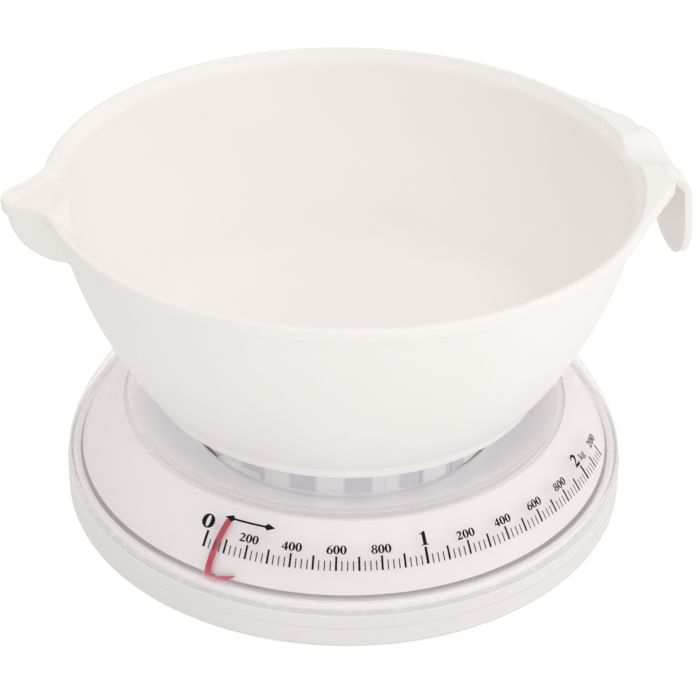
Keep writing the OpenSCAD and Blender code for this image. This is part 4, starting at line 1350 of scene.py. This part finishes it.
def curve_shape(outlines: Sequence[Sequence[Point]]) -> bmesh.types.BMesh:
    """Fill flat outlines: one that lies in another cuts a hole.

    Args:
        outlines: Closed outlines in mm.

    Returns:
        The flat shape.
    """
    curve = bpy.data.curves.new("outline", "CURVE")
    curve.dimensions = "2D"
    curve.fill_mode = "BOTH"
    for outline in outlines:
        spline = curve.splines.new("POLY")
        spline.points.add(len(outline) - 1)
        for point, (across, up) in zip(spline.points, outline):
            point.co = (across, up, 0.0, 1.0)
        spline.use_cyclic_u = True
    holder = bpy.data.objects.new("outline", curve)
    bpy.context.scene.collection.objects.link(holder)
    bpy.context.view_layer.update()
    mesh = bpy.data.meshes.new_from_object(holder)
    bm = bmesh.new()
    bm.from_mesh(mesh)
    bpy.data.objects.remove(holder)
    bpy.data.meshes.remove(mesh)
    bpy.data.curves.remove(curve)
    return bm


def oval(across: float, up: float, half_width: float, half_height: float) -> list[Point]:
    """An ellipse as an outline."""
    steps = 24
    turns = [math.radians(360 * step / steps) for step in range(steps)]
    return [(across + half_width * math.cos(turn), up + half_height * math.sin(turn)) for turn in turns]


def brush(spots: Sequence[Triple]) -> list[Point]:
    """A stroke whose width changes on its way.

    Args:
        spots: Places along the stroke, each with half its width there.

    Returns:
        The stroke's outline.
    """
    left, right = [], []
    for number, (across, up, half) in enumerate(spots):
        before, after = spots[max(number - 1, 0)], spots[min(number + 1, len(spots) - 1)]
        way = Vector((after[0] - before[0], after[1] - before[1])).normalized()
        left.append((across - way.y * half, up + way.x * half))
        right.append((across + way.y * half, up - way.x * half))
    return left + right[::-1]


class Letter(Enum):
    """Bold roman figures one unit tall: each has its sign, its width and its strokes as outlines."""

    ZERO = ("0", 0.78, [[oval(0.39, 0.5, 0.385, 0.51), oval(0.39, 0.5, 0.115, 0.42)]])
    ONE = ("1", 0.60, [
        [[(0.20, 0.08), (0.20, 0.83), (0.03, 0.78), (0.03, 0.83), (0.36, 1.0), (0.44, 1.0),
          (0.44, 0.08), (0.58, 0.05), (0.58, 0.0), (0.06, 0.0), (0.06, 0.05)]],
    ])
    TWO = ("2", 0.76, [
        [brush([(0.06, 0.70, 0.04), (0.14, 0.85, 0.07), (0.30, 0.915, 0.09), (0.46, 0.88, 0.115),
                (0.55, 0.74, 0.125), (0.49, 0.56, 0.10), (0.35, 0.38, 0.065), (0.14, 0.16, 0.05)])],
        [[(0.03, 0.0), (0.64, 0.0), (0.74, 0.28), (0.68, 0.28), (0.60, 0.20), (0.18, 0.20),
          (0.03, 0.05)]],
    ])
    FOUR = ("4", 0.78, [
        [[(0.38, 0.0), (0.63, 0.0), (0.63, 0.23), (0.77, 0.23), (0.77, 0.38), (0.63, 0.38),
          (0.63, 1.0), (0.52, 1.0), (0.01, 0.37), (0.01, 0.23), (0.38, 0.23)],
         [(0.38, 0.38), (0.13, 0.38), (0.38, 0.70)]],
    ])
    SIX = ("6", 0.78, [
        [oval(0.40, 0.32, 0.375, 0.335), oval(0.41, 0.31, 0.125, 0.24)],
        [brush([(0.70, 0.985, 0.025), (0.48, 0.90, 0.055), (0.29, 0.74, 0.085), (0.165, 0.52, 0.115),
                (0.15, 0.34, 0.11)])],
    ])
    EIGHT = ("8", 0.78, [
        [oval(0.39, 0.755, 0.32, 0.255), oval(0.40, 0.765, 0.115, 0.17)],
        [oval(0.39, 0.28, 0.38, 0.29), oval(0.38, 0.27, 0.135, 0.195)],
    ])
    KAY = ("k", 0.78, [
        [[(0.02, 0.0), (0.37, 0.0), (0.37, 0.05), (0.31, 0.07), (0.31, 1.0), (0.01, 1.0), (0.01, 0.95),
          (0.09, 0.92), (0.09, 0.07), (0.02, 0.05)]],
        [[(0.29, 0.26), (0.56, 0.59), (0.45, 0.61), (0.45, 0.66), (0.74, 0.66), (0.74, 0.61),
          (0.42, 0.33), (0.36, 0.26)]],
        [[(0.34, 0.36), (0.50, 0.46), (0.74, 0.07), (0.80, 0.05), (0.80, 0.0), (0.43, 0.0),
          (0.43, 0.05), (0.51, 0.07)]],
    ])
    GEE = ("g", 0.70, [
        [oval(0.32, 0.43, 0.29, 0.24), oval(0.32, 0.43, 0.11, 0.17)],
        [oval(0.34, -0.10, 0.32, 0.19), oval(0.34, -0.10, 0.20, 0.09)],
        [brush([(0.14, 0.28, 0.04), (0.10, 0.17, 0.07), (0.17, 0.09, 0.07), (0.42, 0.05, 0.07)])],
        [brush([(0.48, 0.55, 0.03), (0.56, 0.64, 0.05), (0.66, 0.62, 0.06)])],
    ])

    @classmethod
    def of(cls, sign: str) -> "Letter":
        """The letter for one sign."""
        return next(letter for letter in cls if letter.value[0] == sign)


@dataclass(frozen=True)
class Tick:
    """One kind of tick on the dial.

    Args:
        width: Its width.
        low: Its lower end in degrees up the dome's arc.
        high: Its upper end in degrees up the dome's arc.
    """

    width: float
    low: float
    high: float


@dataclass(frozen=True)
class Weight:
    """One printed weight.

    Args:
        signs: What it says.
        hundreds: The weight that it stands at, in hundreds of grams.
        size: The height of its figures.
        stretch: How much wider than plain they are.
        slope: Its foot, in degrees up the dome's arc.
        aside: How many degrees past its tick it stands.
    """

    signs: str
    hundreds: int
    size: float = 2.95
    stretch: float = 1.0
    slope: float = 42.0
    aside: float = 0.0


@dataclass
class DialPrint:
    """The printed weights, ticks and arrow on the cover's dome.

    Args:
        finishes: The finishes.
        dome: The arc of the cover's outer face.
        lift: How far the ink lies off the face.
        zero: Direction of the zero tick in degrees.
        step: Degrees for every 100 g.
        quarters: How many ticks there are for every 100 g.
        ticks: How many ticks there are on the dial.
        kilo: The kind of tick at each kilogram.
        hundred: The kind of tick at each 100 g.
        quarter: The kind of tick at each 25 g.
        arrow_ends: The directions of the arrow's ends in degrees.
        arrow_slope: The arrow's place up the arc in degrees.
        arrow_width: Width of the arrow's line.
        arrow_head: Length of the arrow's heads, and half their width.
        arrow_waist: How far along a head it is widest, as a share of its length.
        arrow_overlap: How far the arrow's line runs into each head.
        true_width: How many degrees above its foot a shape is as wide as it is drawn.
        longest: The longest edge of a figure that is left straight.
    """

    finishes: Finishes
    dome: DomeArc = DomeArc(42.0026)
    lift: float = 0.05
    zero: float = -129.0
    step: float = 4.577
    quarters: int = 4
    ticks: int = 89
    kilo: Tick = Tick(0.95, 34.6, 42.4)
    hundred: Tick = Tick(0.74, 34.4, 41.0)
    quarter: Tick = Tick(0.42, 34.4, 38.9)
    arrow_ends: Point = (-126.4, -114.9)
    arrow_slope: float = 51.0
    arrow_width: float = 0.72
    arrow_head: Point = (3.6, 1.2)
    arrow_waist: float = 0.75
    arrow_overlap: float = 1.6
    true_width: float = 2.0
    longest: float = 1.2

    def laid(self, bm: bmesh.types.BMesh, direction: float, slope: float) -> bmesh.types.BMesh:
        """Bend a flat shape on to the dome.

        Args:
            bm: The shape, across along x and up along y, in mm.
            direction: Where its x of 0 goes, in degrees round the axis.
            slope: Where its y of 0 goes, in degrees up the dome's arc.

        Returns:
            The same shape, bent.
        """
        ring = self.dome.ring(math.radians(slope + self.true_width))
        for vert in bm.verts:
            rise = math.radians(slope) + vert.co.y / self.dome.radius
            turn = math.radians(direction) + vert.co.x / ring
            vert.co = self.dome.spot(turn, rise, self.lift)
        return bm

    def bar(self, tick: Tick) -> bmesh.types.BMesh:
        """A tick as a flat bar with enough rows to bend, its lower end at 0."""
        length = math.radians(tick.high - tick.low) * self.dome.radius
        bm = bmesh.new()
        bmesh.ops.create_grid(bm, x_segments=1, y_segments=5, size=0.5)
        bmesh.ops.scale(bm, vec=(tick.width, length, 1.0), verts=bm.verts[:])
        bmesh.ops.translate(bm, vec=(0.0, length / 2, 0.0), verts=bm.verts[:])
        return bm

    def word(self, weight: Weight) -> bmesh.types.BMesh:
        """A weight's figures in a row, centred.

        Args:
            weight: The weight.

        Returns:
            The flat shape.
        """
        row = bmesh.new()
        pen = 0.0
        for sign in weight.signs:
            _, advance, shapes = Letter.of(sign).value
            for shape in shapes:
                join(row, curve_shape([[(across + pen, up) for across, up in line] for line in shape]))
            pen += advance
        bmesh.ops.translate(row, vec=(-pen / 2, 0.0, 0.0), verts=row.verts[:])
        size = weight.size
        bmesh.ops.scale(row, vec=(size * weight.stretch, size, 1.0), verts=row.verts[:])
        long_edges = [edge for edge in row.edges if edge.calc_length() > self.longest]
        bmesh.ops.subdivide_edges(row, edges=long_edges, cuts=2)
        return row

    def arrow(self) -> bmesh.types.BMesh:
        """The double-headed arrow beside the zero, bent on to the dome."""
        start, end = self.arrow_ends
        half = math.radians(end - start) * self.dome.ring(math.radians(self.arrow_slope)) / 2
        length, barb = self.arrow_head
        line = self.arrow_width / 2
        row = bmesh.new()
        bmesh.ops.create_grid(row, x_segments=14, y_segments=1, size=0.5)
        straight = 2 * (half - length + self.arrow_overlap)
        bmesh.ops.scale(row, vec=(straight, self.arrow_width, 1.0), verts=row.verts[:])
        for side in (-1, 1):
            neck = side * (half - length)
            waist = side * (half - self.arrow_waist * length)
            join(row, curve_shape([[(side * half, 0.0), (waist, barb), (neck, line), (neck, -line),
                                    (waist, -barb)]]))
        return self.laid(row, (start + end) / 2, self.arrow_slope)

    def weights(self) -> list[Weight]:
        """Every printed weight: the even hundreds, then the zero, the kilograms and their unit."""
        even = [Weight(str(hundreds % 10 * 100), hundreds) for hundreds in (2, 4, 6, 8, 12, 14, 16, 18, 22)]
        return even + [
            Weight("0", 0, 4.9, 1.3, 43.2, -0.75),
            Weight("1", 10, 4.8, 1.1, 43.2),
            Weight("2", 20, 4.8, 1.1, 43.0, -0.4),
            Weight("kg", 20, 2.7, 1.0, 43.2, 2.7),
        ]

    def build(self) -> None:
        """Print the ticks, the weights and the arrow."""
        bold, fine = bmesh.new(), bmesh.new()
        for number in range(self.ticks):
            sheet, tick = fine, self.quarter
            if number % self.quarters == 0:
                sheet, tick = bold, self.kilo if number % (10 * self.quarters) == 0 else self.hundred
            direction = self.zero + self.step * number / self.quarters
            join(sheet, self.laid(self.bar(tick), direction, tick.low))
        for weight in self.weights():
            direction = self.zero + self.step * weight.hundreds + weight.aside
            join(bold, self.laid(self.word(weight), direction, weight.slope))
        join(bold, self.arrow())
        piece("dial_figures", bold, self.finishes.ink, "cover")
        piece("dial_fine_ticks", fine, self.finishes.fine_ink, "cover")


# ------------------------------------------------------------------ studio


@dataclass(frozen=True)
class Lamp:
    """One softbox.

    Args:
        name: Its name.
        place: Its direction in degrees and its distance in metres.
        height: Its height in metres.
        size: Its width and height in metres.
        power: Its power in watts.
        aim: The height in metres that it points at.
        mirrored: True where glossy surfaces show it.
        shadow: False for the glow that soaks through white plastic.
    """

    name: str
    place: Point
    height: float
    size: Point
    power: float
    aim: float = 0.08
    mirrored: bool = True
    shadow: bool = True

    def hang(self) -> None:
        """Hang the lamp."""
        light = bpy.data.lights.new(self.name, "AREA")
        light.use_shadow = self.shadow
        light.shape = "RECTANGLE"
        light.size, light.size_y = self.size
        light.energy = self.power
        made = bpy.data.objects.new(self.name, light)
        turn = math.radians(self.place[0])
        spot = Vector((self.place[1] * math.cos(turn), self.place[1] * math.sin(turn), self.height))
        made.location = spot
        made.visible_glossy = self.mirrored
        made.rotation_euler = (Vector((0.0, 0.0, self.aim)) - spot).to_track_quat("-Z", "Y").to_euler()
        bpy.context.scene.collection.objects.link(made)


@dataclass
class Studio:
    """The plain pale floor, the soft lights and the camera.

    Args:
        distance: The camera's distance from the scale's axis in mm.
        height: Its height in mm.
        pitch: How many degrees it looks down.
        roll: How many degrees it is tilted sideways.
        yaw: How many degrees it looks past the axis.
        turn: How many degrees it stands round from the front.
        lens: Its focal length in mm.
        sensor: The width of its sensor in mm.
        room: The strength of the even light of the room.
        floor_glow: The floor's own light, as the camera sees it.
        floor_size: Half the floor's width in metres.
    """

    distance: float = 595.24
    height: float = 437.25
    pitch: float = 32.78
    roll: float = 0.86
    yaw: float = 0.17
    turn: float = 10.3
    lens: float = 98.15
    sensor: float = 36.0
    room: float = 0.74
    floor_glow: float = 0.36
    floor_size: float = 8.0

    def camera(self) -> None:
        """Stand the camera in front of the dial, a little above the bowl."""
        pitch, roll, yaw = (math.radians(value) for value in (self.pitch, self.roll, self.yaw))
        ahead = Vector((math.sin(yaw) * math.cos(pitch), math.cos(yaw) * math.cos(pitch), -math.sin(pitch)))
        right = Vector((math.cos(yaw), -math.sin(yaw), 0.0))
        up = right.cross(ahead)
        tilted_right = right * math.cos(roll) + up * math.sin(roll)
        tilted_up = up * math.cos(roll) - right * math.sin(roll)
        axes = Matrix((tilted_right, tilted_up, -ahead)).transposed().to_4x4()
        place = Matrix.Translation(Vector((0.0, -self.distance, self.height)) * MM)
        lens = bpy.data.cameras.new("camera")
        lens.lens = self.lens
        lens.sensor_width = self.sensor
        lens.clip_start = 0.02
        lens.clip_end = 20.0
        made = bpy.data.objects.new("camera", lens)
        made.matrix_world = Matrix.Rotation(math.radians(-self.turn), 4, "Z") @ place @ axes
        bpy.context.scene.collection.objects.link(made)
        bpy.context.scene.camera = made

    def world(self) -> None:
        """Light the room evenly, and show it white."""
        room = bpy.data.worlds.new("room")
        bpy.context.scene.world = room
        graph = Graph(room)
        soft = {"Color": (1.0, 0.995, 0.985), "Strength": self.room}
        seen = {"Color": WHITE, "Strength": 1.0}
        graph.finish(graph.mixed(graph.ray("Camera"), graph.node("ShaderNodeBackground", None, soft),
                                 graph.node("ShaderNodeBackground", None, seen)))

    def floor(self) -> None:
        """Lay a plain white floor that keeps the scale's shadow."""
        graph = Graph.material("floor_white")
        spots = graph.noise(400.0)
        matt = graph.node("ShaderNodeBsdfPrincipled", None, {
            "Base Color": graph.blend(spots, (0.92, 0.92, 0.92), (0.90, 0.90, 0.90)),
            "Roughness": 0.8,
            "Specular IOR Level": 0.2,
        })
        glow = graph.node("ShaderNodeEmission", None, {"Color": WHITE, "Strength": self.floor_glow})
        both = graph.node("ShaderNodeAddShader", None, {0: matt, 1: glow})
        material = graph.finish(graph.mixed(graph.ray("Camera"), matt, both))
        bm = bmesh.new()
        bmesh.ops.create_grid(bm, x_segments=1, y_segments=1, size=self.floor_size)
        mesh = bpy.data.meshes.new("floor")
        bm.to_mesh(mesh)
        bm.free()
        mesh.materials.append(material)
        made = bpy.data.objects.new("floor", mesh)
        bpy.context.scene.collection.objects.link(made)

    @staticmethod
    def lamps() -> list[Lamp]:
        """Two softboxes, a fill from the right and the glow that soaks through the bowl."""
        return [
            Lamp("softbox_left", (-152.0, 1.6), 0.74, (0.36, 0.36), 1.2),
            Lamp("softbox_right", (-67.0, 1.6), 0.74, (0.4, 0.36), 1.1),
            Lamp("right_fill", (-8.0, 1.4), 0.6, (1.0, 0.8), 1.8, mirrored=False),
            Lamp("glow_front", (-62.0, 1.3), 0.8, (0.8, 0.8), 3.5, 0.05, mirrored=False, shadow=False),
            Lamp("glow_above", (90.0, 0.5), 1.6, (0.8, 0.8), 3.7, 0.05, mirrored=False, shadow=False),
        ]

    def build(self) -> None:
        """Set up the whole studio."""
        self.camera()
        self.world()
        self.floor()
        for lamp in self.lamps():
            lamp.hang()
        bpy.context.scene.view_settings.view_transform = "Standard"


def main() -> None:
    """Build and dress the scale in order."""
    logging.basicConfig(level=logging.INFO, format="%(name)s: %(message)s")
    Studio().build()
    finishes = Finishes()
    log.info("%d slots dressed", finishes.dress(frame["nodes"]))
    for part in (Bowl(finishes), Pointer(finishes), DialPrint(finishes)):
        part.build()
        log.info("%s built", type(part).__name__)


if __name__ == "__main__":
    main()
